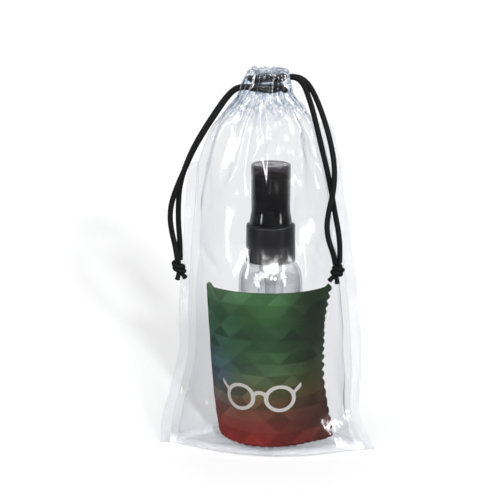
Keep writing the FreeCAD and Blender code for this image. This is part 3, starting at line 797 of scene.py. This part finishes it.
def printed_fade(material, left, down):
    """Three fades from top to foot, side by side, each melting into the next; the right one is darkened with
    painted shade.
    """
    share = calc(material, "DIVIDE", down, CLOTH_SIDE / 2)
    columns = [ramp(material, share, [(place, srgb(*colour, gain=PRINT_GAIN)) for place, colour in fade])
               for fade in (LEFT_FADE, MIDDLE_FADE, RIGHT_PRINT_AND_PAINTED_SHADE)]
    to_middle = spread(material, left, 6.0, 30.0, ease=True)
    into_shaded_right = spread(material, left, 36.0, 58.0, ease=True)
    first = blend_colours(material, to_middle, columns[0], columns[1])
    return blend_colours(material, into_shaded_right, first, columns[2])


# %% The spectacles mark
LENS_RADIUS = 6.6
LENS_SIDEWAYS = 9.6
LENS_SQUASH = 1.12
BRIDGE_RADIUS = 3.6
ARM_FROM, ARM_LONG = 15.6, 4.4
MARK_LINE = 1.9
MARK_LEFT, MARK_DOWN = 33.0, 52.0


def ring_share(material, left, down, centre_left, centre_down, radius, squash=1.0):
    """1 on a ring as wide as the mark's line, 0 elsewhere."""
    dx = calc(material, "SUBTRACT", left, centre_left)
    dy = calc(material, "MULTIPLY", calc(material, "SUBTRACT", down, centre_down), squash)
    reach = calc(material, "SQRT", calc(material, "ADD", calc(material, "MULTIPLY", dx, dx),
                                        calc(material, "MULTIPLY", dy, dy)))
    off = calc(material, "ABSOLUTE", calc(material, "SUBTRACT", reach, radius))
    return calc(material, "LESS_THAN", off, MARK_LINE / 2)


def spectacles(material, left, down):
    """1 on two lenses, their bridge and two short arms, on the front layer only."""
    one, two = [ring_share(material, left, down, MARK_LEFT + sideways, MARK_DOWN, LENS_RADIUS, LENS_SQUASH)
                for sideways in (-LENS_SIDEWAYS, LENS_SIDEWAYS)]
    bridge = ring_share(material, left, down, MARK_LEFT, MARK_DOWN + 0.6, BRIDGE_RADIUS)
    above = calc(material, "LESS_THAN", down, MARK_DOWN - 0.7)
    bridge = calc(material, "MULTIPLY", bridge, above)
    away = calc(material, "SUBTRACT", calc(material, "ABSOLUTE",
                                           calc(material, "SUBTRACT", left, MARK_LEFT)), ARM_FROM)
    slope = calc(material, "ADD", calc(material, "SUBTRACT", down, MARK_DOWN - 2.2),
                 calc(material, "MULTIPLY", away, 0.9))
    arm = calc(material, "LESS_THAN", calc(material, "ABSOLUTE", slope), MARK_LINE / 1.7)
    arm = calc(material, "MULTIPLY", arm, calc(material, "GREATER_THAN", away, 0.0))
    arm = calc(material, "MULTIPLY", arm, calc(material, "LESS_THAN", away, ARM_LONG))
    total = calc(material, "MAXIMUM", calc(material, "MAXIMUM", one, two),
                 calc(material, "MAXIMUM", bridge, arm))
    flat = add(material, "SeparateXYZ", {"Vector": flat_map(material)})
    front = calc(material, "MULTIPLY", calc(material, "LESS_THAN", flat.outputs["Y"], 0.5),
                 calc(material, "GREATER_THAN", flat.outputs["X"], 0.5))
    return calc(material, "MULTIPLY", total, front)


# %% Printed microfibre
def grey(material, value):
    """A grey as light as the value."""
    return add(material, "CombineXYZ", {"X": value, "Y": value, "Z": value}).outputs["Vector"]


def printed_microfibre():
    """The print laid on a short, matt pile."""
    material = new_material("printed_microfibre")
    left, down = print_places(material)
    tone, middle_down = triangles(material, left, down)
    fade = printed_fade(material, left, calc(material, "ADD", calc(material, "MULTIPLY", down, 0.5),
                                             calc(material, "MULTIPLY", middle_down, 0.5)))
    tone = spread(material, tone, 0.0, 1.0, 0.66, 1.36)
    colour = blend_colours(material, 1.0, fade, grey(material, tone), "MULTIPLY")
    colour = blend_colours(material, spectacles(material, left, down), colour, srgb(214, 210, 202, 0.62))
    place = object_coords(material)
    pile = speckle(material, place, 2600.0, 3.0, 0.7)
    knit = add(material, "TexVoronoi", {"Vector": place, "Scale": 2100.0}).outputs["Distance"]
    grain = calc(material, "ADD", calc(material, "MULTIPLY", pile, 0.6),
                 calc(material, "MULTIPLY", knit, 0.5))
    shade = spread(material, grain, 0.0, 1.0, 0.86, 1.12)
    colour = blend_colours(material, 1.0, colour, grey(material, shade), "MULTIPLY")
    shader = add(material, "BsdfPrincipled", {
        "Base Color": colour, "Roughness": 0.88, "Specular IOR Level": 0.05, "Sheen Weight": 0.015,
        "Sheen Roughness": 0.6, "Normal": bumped(material, grain, 0.00008, 0.7)})
    return finish_material(material, shader.outputs["BSDF"])


paint(cloth, printed_microfibre())
print("print of", len(cloth.active_material.node_tree.nodes), "nodes on", cloth.name)

# %% [markdown]
# The pouch is two sheets of soft clear vinyl, welded together down both sides and along the
# bottom. At the top each sheet is turned over into a hem for the cords. Drawing the cords
# gathers the mouth, so the film runs up into pleats, and below them the pleats join into
# a few broad folds that fade out. Each sheet is one surface here: its half of the floor,
# the rounded foot, the wall, the gathered neck, and the hem up, over and down inside.
# Film like this could be simulated, but its folds have to run where the real ones do, so
# they are laid on a smooth body as ridges along the film's own normal.

# %% The pouch's outline, level by level, in millimetres
OUTLINE = {
    "height": (0, 16, 40, 80, 120, 145, 158, 166, 172, 178, 185),
    "left_x": (-50, -47.5, -41.3, -39.3, -36.2, -33, -27.0, -20.6, -16.4, -14.2, -10.8),
    "left_y": (-0.8, -0.5, 0, 0, 0, 0, 0, 0, 0, 0, 0),
    "right_x": (46.5, 39.8, 39.6, 36.6, 31, 26.4, 21.4, 15.4, 11.2, 9.6, 8.6),
    "right_y": (-10.5, -6.5, -3, -1, 0, 0, 0, 0, 0, 0, 0),
    "front": (14.2, 17.0, 19.4, 20.3, 17.6, 15.2, 13.8, 12.7, 11.8, 11.2, 10.6),
    "back": (24.0, 22.2, 20.2, 19.4, 16.6, 15.2, 13.8, 12.7, 11.8, 11.2, 10.6),
}


def outline(column, height):
    """The outline's value in one column at a height."""
    return between(list(zip(OUTLINE["height"], OUTLINE[column])), height)


# %% Stations from the floor's middle up the wall, over the hem and down inside it
FLOOR_Z = 0.2
FOOT_ROUND = 2.6
HEM_LOW, HEM_HIGH = 172.0, 183.2
HEM_INNER = 5.9
HEM_CROWN = 1.25
SEAM_EDGE = 3.6
COLUMNS = 181


def stations():
    """Rows as (kind, value): a share of the floor, a height, or an angle over the hem."""
    rows = [("floor", share) for share in np.linspace(0, 0.965, 9)]
    rows += [("wall", FOOT_ROUND * (1 - math.cos(angle))) for angle in np.linspace(0.35, math.pi / 2, 5)]
    rows += [("wall", z) for z in np.linspace(FOOT_ROUND + 1.1, HEM_LOW, 148)]
    rows += [("wall", z) for z in np.linspace(HEM_LOW + 0.9, HEM_HIGH, 12)]
    rows += [("over", angle) for angle in np.linspace(0.35, math.pi - 0.1, 7)]
    rows += [("inner", z) for z in np.linspace(HEM_HIGH - 0.6, HEM_LOW + 0.8, 10)]
    return rows


def panel_body(side):
    """One sheet before its folds, rows by columns, as a lens below that gathers into a round
    neck, with a slot at each side of the hem for the cords; side is -1 in front."""
    u = np.linspace(0, 1, COLUMNS)
    grid, kinds = [], []
    for kind, value in stations():
        z = {"floor": 0.0, "wall": value, "over": HEM_HIGH, "inner": value}[kind]
        height = np.full(COLUMNS, z)
        gather = float(smooth(z, 128, HEM_LOW))
        slot = 0.27 * float(smooth(z, 167, 173.5))
        lens = 0.38 * u + 0.62 * (1 - np.cos(math.pi * u)) / 2
        angle = slot + (math.pi - 2 * slot) * u
        round_x = (1 - np.cos(angle)) / 2
        x_share = (1 - gather) * lens + gather * round_x
        width = outline("right_x", height) - outline("left_x", height)
        edge = SEAM_EDGE / width
        inside = np.clip((x_share - edge) / (1 - 2 * edge), 0, 1)
        off_seams = smooth(x_share, 0, edge) * smooth(1 - x_share, 0, edge)
        flat_profile = np.sin(math.pi * inside) ** 0.8 + 0.025 * off_seams
        round_profile = 2 * np.sqrt(np.clip(round_x * (1 - round_x), 0, 1))
        profile = (1 - gather) * flat_profile + gather * round_profile
        bulge = outline("front" if side < 0 else "back", height)
        seam = outline("left_y", height) * (1 - x_share) + outline("right_y", height) * x_share
        x = outline("left_x", height) + width * x_share
        reach = bulge * profile + 0.24
        if kind == "wall" and z < FOOT_ROUND:
            drawn_in = 1 - math.sqrt(max(0.0, 1 - (1 - z / FOOT_ROUND) ** 2))
            reach = reach - FOOT_ROUND * drawn_in * smooth(reach, 0.3, 6.0)
        if kind == "floor":
            reach = np.maximum(reach - FOOT_ROUND * smooth(reach, 0.3, 6.0), 0.0) * value
        if kind in ("over", "inner"):
            share = (1 + math.cos(value)) / 2 if kind == "over" else 0.0
            left = share * outline("left_x", height) + (1 - share) * (RING_CENTRE_X - HEM_INNER)
            right = share * outline("right_x", height) + (1 - share) * (RING_CENTRE_X + HEM_INNER)
            x = (left + right) / 2 - (right - left) / 2 * np.cos(angle)
            reach = (share * bulge + (1 - share) * HEM_INNER) * np.sin(angle)
            if kind == "over":
                height = np.full(COLUMNS, HEM_HIGH + HEM_CROWN * math.sin(value))
        y = seam + side * reach
        ripple = np.sin(9.2 * angle + side) + 0.7 * np.sin(15.7 * angle + 2.2 * side) - 0.5
        height = height + 0.42 * ripple * np.sin(angle) * smooth(height, 175, 183)
        grid.append(np.stack([x, y, np.maximum(height, FLOOR_Z)], axis=-1))
        kinds.append(kind)
    return np.array(grid), kinds, u


print("a sheet is", panel_body(-1)[0].shape[:2], "points")


# %% Normals of a grid
def grid_normals(grid, side):
    """Unit normals that point out of the pouch."""
    across = np.gradient(grid, axis=1)
    along = np.gradient(grid, axis=0)
    normals = np.cross(across, along)
    length = np.linalg.norm(normals, axis=-1, keepdims=True)
    normals = normals / np.maximum(length, 1e-9)
    return normals if side < 0 else -normals


# %% Creases that run where the real ones do: (points as x and height, ridge, width)
FRONT_CREASES = [
    ([(-19, 168), (-23, 158), (-27, 144), (-30, 132), (-33, 120), (-34.5, 106)], 1.5, 2.6),
    ([(-11, 168), (-12, 156), (-15, 142), (-20.5, 131), (-26, 122)], 1.15, 2.2),
    ([(-6.5, 170), (-5.6, 163), (-3.6, 154), (-7.0, 147), (-14, 134)], 1.2, 2.2),
    ([(1.5, 168), (1.2, 160), (-1.5, 153.5), (-5, 147.5)], 1.0, 2.0),
    ([(6.5, 170), (5.2, 158), (1.5, 146)], -0.8, 2.4),
    ([(14.5, 166), (13.5, 160), (10.6, 152), (8.4, 142)], 1.2, 2.2),
    ([(16.5, 172), (19.4, 165), (21.8, 156), (24.2, 146), (26.6, 134)], -2.6, 2.4),
    ([(16.0, 158), (18.0, 146), (23.2, 137), (27.5, 120), (30.5, 98), (32, 74), (34.5, 42)], 1.0, 2.2),
    ([(9.8, 140), (10.2, 128), (9.6, 118), (12, 104), (15.5, 90)], 1.3, 2.6),
    ([(2, 92), (-3, 84), (-8, 72)], 0.8, 2.0),
    ([(-24, 164), (-29, 150), (-33.5, 134), (-35, 118)], 1.0, 1.6),
    ([(-34, 104), (-31, 95), (-25, 89), (-18, 89)], -1.5, 3.6),
    ([(-35, 97), (-29, 90), (-21, 86)], 0.8, 1.8),
    ([(21, 100), (28, 104), (33, 112)], -1.2, 5.0),
    ([(-37.4, 126), (-36.6, 98), (-37.4, 74), (-39.6, 49), (-44.0, 25), (-50, 8)], 0.8, 1.8),
    ([(49.5, 1), (44.0, 19), (37, 13.5), (27, 9), (14, 3.5)], 1.7, 2.4),
    ([(44.0, 19), (38.5, 26), (36.5, 40)], 1.1, 2.0),
    ([(-47, 26), (-38, 24.5), (-27, 22.5)], 0.6, 3.0),
    ([(-52, 9.5), (-40, 8), (-27, 5.5)], 0.6, 2.6),
    ([(-44, 34), (-36, 20), (-30, 12)], -0.7, 2.4),
]
BACK_CREASES = [
    ([(-20, 168), (-25, 150), (-30, 132), (-33, 110)], 1.3, 2.6),
    ([(-9, 170), (-12, 152), (-18, 134), (-23, 116)], 1.2, 2.6),
    ([(1, 170), (-1, 156), (4, 142), (2, 122)], 1.1, 2.4),
    ([(10, 168), (12, 152), (18, 136), (22, 112)], 1.2, 2.6),
    ([(28, -14), (31, 6), (32, 18), (31, 32), (29, 48)], 3.2, 6.5),
    ([(31, 100), (33, 70), (35, 48)], 1.1, 2.2),
    ([(-37.5, 110), (-37, 74), (-40, 44), (-47, 14)], 0.9, 2.2),
    ([(-30, 60), (-20, 30), (-8, 10)], 0.7, 3.0),
    ([(14, 58), (24, 34), (38, 16)], 0.8, 3.0),
]


def ledge_height(grid):
    """Above the cloth the front sheet steps in toward the pump, then eases out again."""
    x, z = grid[..., 0], grid[..., 2]
    drop = np.interp(z, [83, 88, 100, 103.5, 108, 128], [0, 0.4, 2.2, 2.5, 2.3, 0])
    level = smooth(z, 83, 88) * (1 - smooth(z, 99, 112)) * (1 - smooth(np.abs(x - 3), 12, 21))
    hollow = 0.0125 * np.minimum((x - 3) ** 2, 160.0) * level
    return hollow - drop * (1 - smooth(np.abs(x - 1), 11, 24))


def crease_height(grid, creases):
    """How far each crease lifts the film; ends fade out and sides fall in a tent."""
    total = np.zeros(grid.shape[:2])
    x, z = grid[..., 0], grid[..., 2]
    for points, ridge, wide in creases:
        lift = np.zeros_like(total)
        spans = list(zip(points[:-1], points[1:]))
        for n, ((ax, az), (bx, bz)) in enumerate(spans):
            dx, dz = bx - ax, bz - az
            t = np.clip(((x - ax) * dx + (z - az) * dz) / (dx * dx + dz * dz), 0, 1)
            gap = np.hypot(x - ax - t * dx, z - az - t * dz)
            share = (n + t) / len(spans)
            fade = smooth(share, -0.02, 0.22) * (1 - smooth(share, 0.7, 1.02))
            tent = np.clip(1 - gap / (wide * 2.0), 0, 1) ** 2.2
            lift = np.maximum(lift, tent * fade)
        total += ridge * lift
    return total


# %% Pleats at the neck, broad folds below them
PLEATS = 11
BROAD_FOLDS = 4.5
LESSER_FOLDS = 8


def pleat_height(grid, u, side):
    """Fine pleats near the hem, which join into broad folds lower down."""
    z = grid[..., 2]
    turn = 2 * math.pi * (u + 0.018 * np.sin(5.1 * math.pi * u + side)
                          + 0.012 * np.sin(12.3 * math.pi * u + 2 * side))
    fine = np.cos(PLEATS * turn)
    fine = np.sign(fine) * np.abs(fine) ** 0.75
    uneven = 0.75 + 0.35 * np.sin(7 * math.pi * u + 1.3 * side)
    broad = np.cos(BROAD_FOLDS * turn + 0.5 * side) + 0.45 * np.cos(LESSER_FOLDS * turn + 1.9)
    near_seam = smooth(u, 0.0, 0.05) * smooth(1 - u, 0.0, 0.05)
    fine_share = smooth(z, 150, 170)
    broad_share = smooth(z, 112, 150) * (1 - 0.75 * smooth(z, 160, 172))
    return near_seam * (0.9 * fine * uneven * fine_share + broad * broad_share)


# %% Small crumples in the film
CRUMPLE_SIZE = 9.5
WAVE_SIZE = 30.0


def crumple_height(grid, side):
    """Sharp-edged dents from ridged noise, strong at the neck and in the low corners."""
    points = grid.reshape(-1, 3)
    x, z = grid[..., 0], grid[..., 2]
    offset = Vector((31.0 + side * 11, 4.0, 8.0))
    stretch = Vector((1.0, 1.0, 0.72))
    small = np.array([noise.ridged_multi_fractal(Vector(point) * stretch / CRUMPLE_SIZE + offset,
                                                 0.9, 2.1, 3, 1.0, 1.6, noise_basis="PERLIN_ORIGINAL")
                      for point in points.tolist()]).reshape(z.shape)
    small = small - small.mean()
    slow = bumps(points, WAVE_SIZE, 7 + side, 2).reshape(z.shape)
    neck = smooth(z, 132, 166)
    corners = smooth(np.abs(x + 2), 26, 40) * (1 - smooth(z, 18, 46))
    middle = 0.16 + 0.2 * smooth(z, 84, 110)
    crown = smooth(z, 156, 168)
    amount = (0.36 * neck + 0.55 * crown + (0.10 + 0.18 * smooth(x, 0, 30)) * corners
              + 0.10 * middle)
    return small * amount + slow * (0.55 * middle + 0.22 * corners + 0.35 * neck)


# %% Both sheets
FILM_THICK = 0.3
LIFT_SHARE = {"floor": 0.0, "wall": 1.0, "over": 0.6, "inner": -0.35}


def make_panel(name, side, creases):
    """One sheet of film with all its folds; they die away at its seams, foot and floor."""
    grid, kinds, u = panel_body(side)
    normals = grid_normals(grid, side)
    z = grid[..., 2]
    lift = crease_height(grid, creases) + crumple_height(grid, side)
    if side < 0:
        lift = lift + ledge_height(grid)
    near_seam = smooth(u, 0.0, 0.07) * smooth(1 - u, 0.0, 0.07)
    foot = smooth(z, 1.5, 12.0)
    lift = lift * near_seam * (0.12 + 0.88 * foot)
    beside_cloth = (1 - smooth(z, 80, 96)) * (1 - smooth(np.abs(grid[..., 0]), 27, 34))
    lift = np.where(lift < 0, lift * (1 - 0.85 * beside_cloth), lift * (1 - 0.45 * beside_cloth))
    lift = lift + pleat_height(grid, u, side)
    lift = np.where(z > 170, np.clip(lift, -0.7, 1.3), lift)
    lift_share = np.array([LIFT_SHARE[kind] for kind in kinds])
    grid = grid + normals * (lift * lift_share[:, None])[..., None]
    grid[..., 2] = np.maximum(grid[..., 2], FLOOR_Z)
    across = np.cumsum(np.linalg.norm(np.diff(grid, axis=1, prepend=grid[:, :1]), axis=-1), axis=1)
    along = np.cumsum(np.linalg.norm(np.diff(grid, axis=0, prepend=grid[:1]), axis=-1), axis=0)
    uvs = np.stack([across - across[:, -1:] / 2, along], axis=-1).reshape(-1, 2)
    panel = mesh_piece(name, grid.reshape(-1, 3), grid_faces(*grid.shape[:2]), uvs)
    if side > 0:
        turn_over(panel)
    apply_modifier(panel, "SOLIDIFY", thickness=FILM_THICK * MM, offset=0.0)
    print(name, len(panel.data.polygons), "faces")
    return panel


front_panel = make_panel("front_film_panel", -1, FRONT_CREASES)
back_panel = make_panel("back_film_panel", 1, BACK_CREASES)

# %% [markdown]
# The side welds are where a hot bar with a fine dotted face pressed the two sheets into
# one. They stand out flat beyond the pouch's body, a little wavy, each with a rounded upper
# corner. The left one ends below the neck, and the right one reaches up beside it.

# %% Side welds: side, widths at the heights below, and top
WELD_HEIGHTS = (0, 16, 40, 80, 120, 145, 158, 172)
WELDS = {
    "left_side_weld": (-1, (4.8, 5.4, 5, 4.8, 4.8, 4.8, 4.8, 4.8), 141.0),
    "right_side_weld": (1, (4.9, 4.4, 5, 5, 5, 5.6, 7.8, 9), 160.0),
}
WELD_THICK = 0.55
WELD_STEP = 0.7
WELD_CORNER = 3.0
WELD_OVERLAP = 0.25


def make_weld(name, side, widths, top):
    """A flat strip beside the body, a little wavy, with a rounded upper corner."""
    edge = "left" if side < 0 else "right"
    across = np.linspace(0, 1, 11)
    grid = []
    for z in np.linspace(WELD_STEP / 2, top, int(top / WELD_STEP)):
        wide = float(between(list(zip(WELD_HEIGHTS, widths)), np.array(z)))
        over = max(0.0, z - (top - WELD_CORNER)) / WELD_CORNER
        wide = wide - WELD_CORNER * (1 - math.sqrt(max(0.0, 1 - over * over)))
        seam_x = float(outline(edge + "_x", np.array(z)))
        seam_y = float(outline(edge + "_y", np.array(z)))
        x = seam_x + side * (across * wide - WELD_OVERLAP)
        wave = 0.55 * np.sin(z / 6.1 + side) + 0.35 * np.sin(z / 2.7 + 2 * side)
        y = seam_y + across**1.5 * wave * float(smooth(z, 3, 20))
        ripple = 0.22 * np.sin(z / 4.3 + 1.1 * side) * across
        grid.append(np.stack([x + side * ripple, y, np.full(len(across), z)], axis=-1))
    grid = np.array(grid)
    uvs = np.stack([np.abs(grid[..., 0] - grid[:, :1, 0]), grid[..., 2]], axis=-1).reshape(-1, 2)
    strip = mesh_piece(name.replace("side_weld", "dotted_side_weld"), grid.reshape(-1, 3),
                       grid_faces(*grid.shape[:2]), uvs)
    if side < 0:
        turn_over(strip)
    apply_modifier(strip, "SOLIDIFY", thickness=WELD_THICK * MM, offset=0.0)
    return strip


welds = {name: make_weld(name, *facts) for name, facts in WELDS.items()}
print("welds", list(welds))

# %% [markdown]
# Vinyl film is clear with a slight blue-grey cast. Small waves in it spread each highlight.
# The weld is the same film, pressed by the bar into rows of fine dots that scatter the light,
# so it looks a little whiter.

# %% Film and welds
FILM_TINT = (0.984, 0.985, 0.990, 1)
FILM_EDGE = (0.78, 0.80, 0.84, 1)
FILM_BUNCHED = (0.77, 0.81, 0.86, 1)


def film_waves(material):
    """Slow waves with a little fine unevenness."""
    place = stretched(material, object_coords(material), (1.0, 1.0, 0.5))
    slow = speckle(material, place, 80.0)
    fine = speckle(material, place, 420.0)
    both = calc(material, "ADD", slow, calc(material, "MULTIPLY", fine, 0.05))
    return bumped(material, both, 0.0010)


def film_tint(material, edge):
    """The film's cast: deeper at a glancing look, and mottled where it is bunched at the neck; on the floor
    the glancing tint is mostly left out, as painted light on the foot's shade.
    """
    height = height_above_floor(material)
    bunched = spread(material, height, 0.157, 0.171, ease=True)
    folds = speckle(material, object_coords(material), 330.0, 4.0, 0.62, 1.2)
    folds = spread(material, folds, 0.44, 0.62)
    # Painted light: where the film lies on the floor it keeps little of its glancing tint, so the shaded foot
    # looks lighter.
    tint_share_painted_lighter_at_floor = spread(material, height, 0.0006, 0.004, 0.1, 1.0)
    colour = blend_colours(material, calc(material, "MULTIPLY", edge, tint_share_painted_lighter_at_floor), FILM_TINT, FILM_EDGE)
    return blend_colours(material, calc(material, "MULTIPLY", bunched, folds), colour, FILM_BUNCHED,
                         "MULTIPLY")


def dot_pattern(material):
    """1 on a pressed dot and 0 between dots, 1.2 mm apart on the strip's own map."""
    turned = stretched(material, flat_map(material), (0.85, 0.85, 0.85), Rotation=(0, 0, math.radians(45)))
    dots = add(material, "TexVoronoi", {"Vector": turned, "Scale": 1.0, "Randomness": 0.0},
               voronoi_dimensions="2D").outputs["Distance"]
    return spread(material, dots, 0.15, 0.5, 1.0, 0.0)


def weld_dots(material):
    """The dots stand up a little."""
    return bumped(material, dot_pattern(material), 0.0003)


def weld_tint(material, edge):
    """The dots are less clear than the film between them."""
    dotted = blend_colours(material, dot_pattern(material), (0.955, 0.957, 0.968, 1), (0.885, 0.895, 0.92, 1))
    return blend_colours(material, edge, dotted, (0.74, 0.76, 0.80, 1))


def foot_scuffs_and_painted_light(material):
    """A whitish haze at the foot, partly scuffs from creases and rubbing and partly painted light on the
    foot's shade; the rest of the film stays clear.
    """
    # The haze share at the foot is partly scuffs and partly painted light.
    painted_light_at_foot = spread(material, height_above_floor(material), 0.001, 0.006, 0.42, 0.0, ease=True)
    place = stretched(material, object_coords(material), (0.35, 1.0, 1.0))
    rubbed = spread(material, speckle(material, place, 260.0, 3.0, distortion=0.8), 0.3, 0.7, 0.5, 1.0)
    return calc(material, "MULTIPLY_ADD", painted_light_at_foot, rubbed, 0.002)


clear_film = clear_plastic("clear_vinyl_film", film_tint, None, 0.045, 0.13, film_waves,
                           haze=(0.93, 0.94, 0.97, 1), haze_share=foot_scuffs_and_painted_light, edge_power=2.0)
welded_film = clear_plastic("welded_film", weld_tint, None, 0.055, 0.16, weld_dots,
                            haze=(0.95, 0.955, 0.97, 1), haze_share=0.03)


def weld_rows(material):
    """Dots for the floor's weld, which has no map of its own, from its place."""
    place = stretched(material, object_coords(material), (1150.0, 1150.0, 1150.0))
    dots = add(material, "TexVoronoi", {"Vector": place, "Scale": 1.0, "Randomness": 0.0}).outputs["Distance"]
    return bumped(material, dots, 0.0002)


floor_weld_film = clear_plastic("floor_weld_film", (0.985, 0.986, 0.99, 1), (0.93, 0.935, 0.95, 1), 0.05,
                                0.16, weld_rows, haze=(0.95, 0.955, 0.97, 1), haze_share=0.03)
for panel in (front_panel, back_panel):
    paint(panel, clear_film)
for strip in welds.values():
    paint(strip, welded_film)
paint(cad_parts["bottom_weld"], floor_weld_film)
print("film:", clear_film.name, welded_film.name, floor_weld_film.name)

# %% [markdown]
# Each new piece now says which body it rides on and which plain solid it stands for; its
# finish was given above. The cords' strands also say their length, which is measured along their lines.

# %% Riding and replacing
for name, piece in cords.items():
    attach(piece, "kit")
    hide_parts(name)
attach(cloth, "kit")
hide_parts("cleaning_cloth")
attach(front_panel, "kit")
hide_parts("pouch_front_panel", "hem_front")
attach(back_panel, "kit")
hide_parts("pouch_back_panel", "hem_back")
for name, strip in welds.items():
    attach(strip, "kit")
    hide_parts(name)
print(len(cords) + 3 + len(welds), "new pieces ride on the kit")

# %% Lengths of the cords' strands
for name in STRANDS:
    line = evenly(strand_lines[name], 1.0)
    length = float(np.linalg.norm(np.diff(line, axis=0), axis=1).sum())
    print(name, "said to be", round(length, 1), "mm")

# %% [markdown]
# The table is a plain pale floor. A low, fairly soft lamp at the front right throws the
# pouch's long pale shadow back to the left. Two soft boxes and two strips are there only to
# be mirrored in the film and the bottle. What is mirrored of the room is light behind the
# pouch and dark behind the camera, so that the film stays clear in front of the dark cap.

# %% Floor
FLOOR_WIDE = 12.0
FLOOR_BACK = 2.5
deselect_all()
bpy.ops.mesh.primitive_plane_add(size=FLOOR_WIDE, location=(0, FLOOR_BACK, 0))
floor = bpy.context.object
floor.name = "pale_floor"


def floor_paint():
    """Matt, nearly white, and very slightly cloudy."""
    material = new_material("pale_floor_paint")
    cloud = speckle(material, object_coords(material), 3.0)
    colour = blend_colours(material, cloud, (0.925, 0.925, 0.925, 1), (0.935, 0.935, 0.935, 1))
    shader = add(material, "BsdfDiffuse", {"Color": colour})
    return finish_material(material, shader.outputs["BSDF"])


paint(floor, floor_paint())
floor.visible_glossy = False
print("floor", FLOOR_WIDE, "m wide")

# %% Lamps: azimuth and rise in degrees, distance, width and height in metres, watts
KEY_AZIMUTH, KEY_RISE, KEY_SOFTNESS, KEY_STRENGTH = 15.5, 18.6, 4.5, 2.5
SOFT_BOXES = [("left_soft_box", -32.0, 42.0, 1.2, 0.5, 0.5, 8.0),
              ("right_soft_box", 60.0, 36.0, 1.2, 0.4, 0.5, 6.5),
              ("left_strip", -53.0, 18.0, 1.2, 0.20, 0.75, 5.5),
              ("right_strip", 56.0, 18.0, 1.2, 0.16, 0.75, 4.5)]
POUCH_MIDDLE = (0, 0, 0.09)


def lamp_place(azimuth, rise, distance):
    """A place round the pouch; azimuth 0 is in front and turns to the right."""
    a, r = math.radians(azimuth), math.radians(rise)
    return Vector((math.sin(a) * math.cos(r), -math.cos(a) * math.cos(r), math.sin(r))) * distance


def aim(lamp, target):
    """Turns a lamp so that it shines at the target."""
    lamp.rotation_euler = (Vector(target) - lamp.location).to_track_quat("-Z", "Y").to_euler()


deselect_all()
bpy.ops.object.light_add(type="SUN", location=lamp_place(KEY_AZIMUTH, KEY_RISE, 2.0))
key = bpy.context.object
key.name = "key_lamp"
key.data.energy = KEY_STRENGTH
key.data.angle = math.radians(KEY_SOFTNESS)
aim(key, (0, 0, 0))
for name, azimuth, rise, distance, wide, high, watts in SOFT_BOXES:
    bpy.ops.object.light_add(type="AREA", location=lamp_place(azimuth, rise, distance))
    box = bpy.context.object
    box.name = name
    box.data.shape = "RECTANGLE"
    box.data.size, box.data.size_y = wide, high
    box.data.energy = watts
    box.visible_diffuse = False
    aim(box, POUCH_MIDDLE)
    deselect_all()
print("key lamp at", KEY_AZIMUTH, "degrees with", len(SOFT_BOXES), "soft ones")

# %% Room light: its strength as it lights things, as it is mirrored, and as it is seen
ROOM_PLAIN, ROOM_SEEN = 0.89, 1.05
ROOM_MIRRORED_DARK, ROOM_MIRRORED_LIGHT = 0.035, 0.95
room = bpy.data.worlds.new("studio_room")
bpy.context.scene.world = room
room.use_nodes = True
room.node_tree.nodes.clear()
direction = add(room, "SeparateXYZ", {"Vector": add(room, "TexCoord").outputs["Generated"]})
behind = spread(room, direction.outputs["Y"], 0.0, 0.75, ROOM_MIRRORED_DARK, ROOM_MIRRORED_LIGHT, ease=True)
mirrored = add(room, "Background", {"Color": (0.96, 0.97, 1.0, 1), "Strength": behind})
plain = add(room, "Background", {"Color": (1, 1, 1, 1), "Strength": ROOM_PLAIN})
white = add(room, "Background", {"Color": (1, 1, 1, 1), "Strength": ROOM_SEEN})
paths = add(room, "LightPath")
lit = add(room, "MixShader", {0: paths.outputs["Is Glossy Ray"], 1: plain.outputs[0],
                              2: mirrored.outputs[0]})
seen = add(room, "MixShader", {0: paths.outputs["Is Camera Ray"], 1: lit.outputs[0],
                               2: white.outputs[0]})
add(room, "OutputWorld", {"Surface": seen.outputs[0]})
print("room light", ROOM_PLAIN)

# %% How bright the view is shown, and how many clear layers a ray may pass
bpy.context.scene.view_settings.view_transform = "Standard"
bpy.context.scene.cycles.transparent_max_bounces = 32
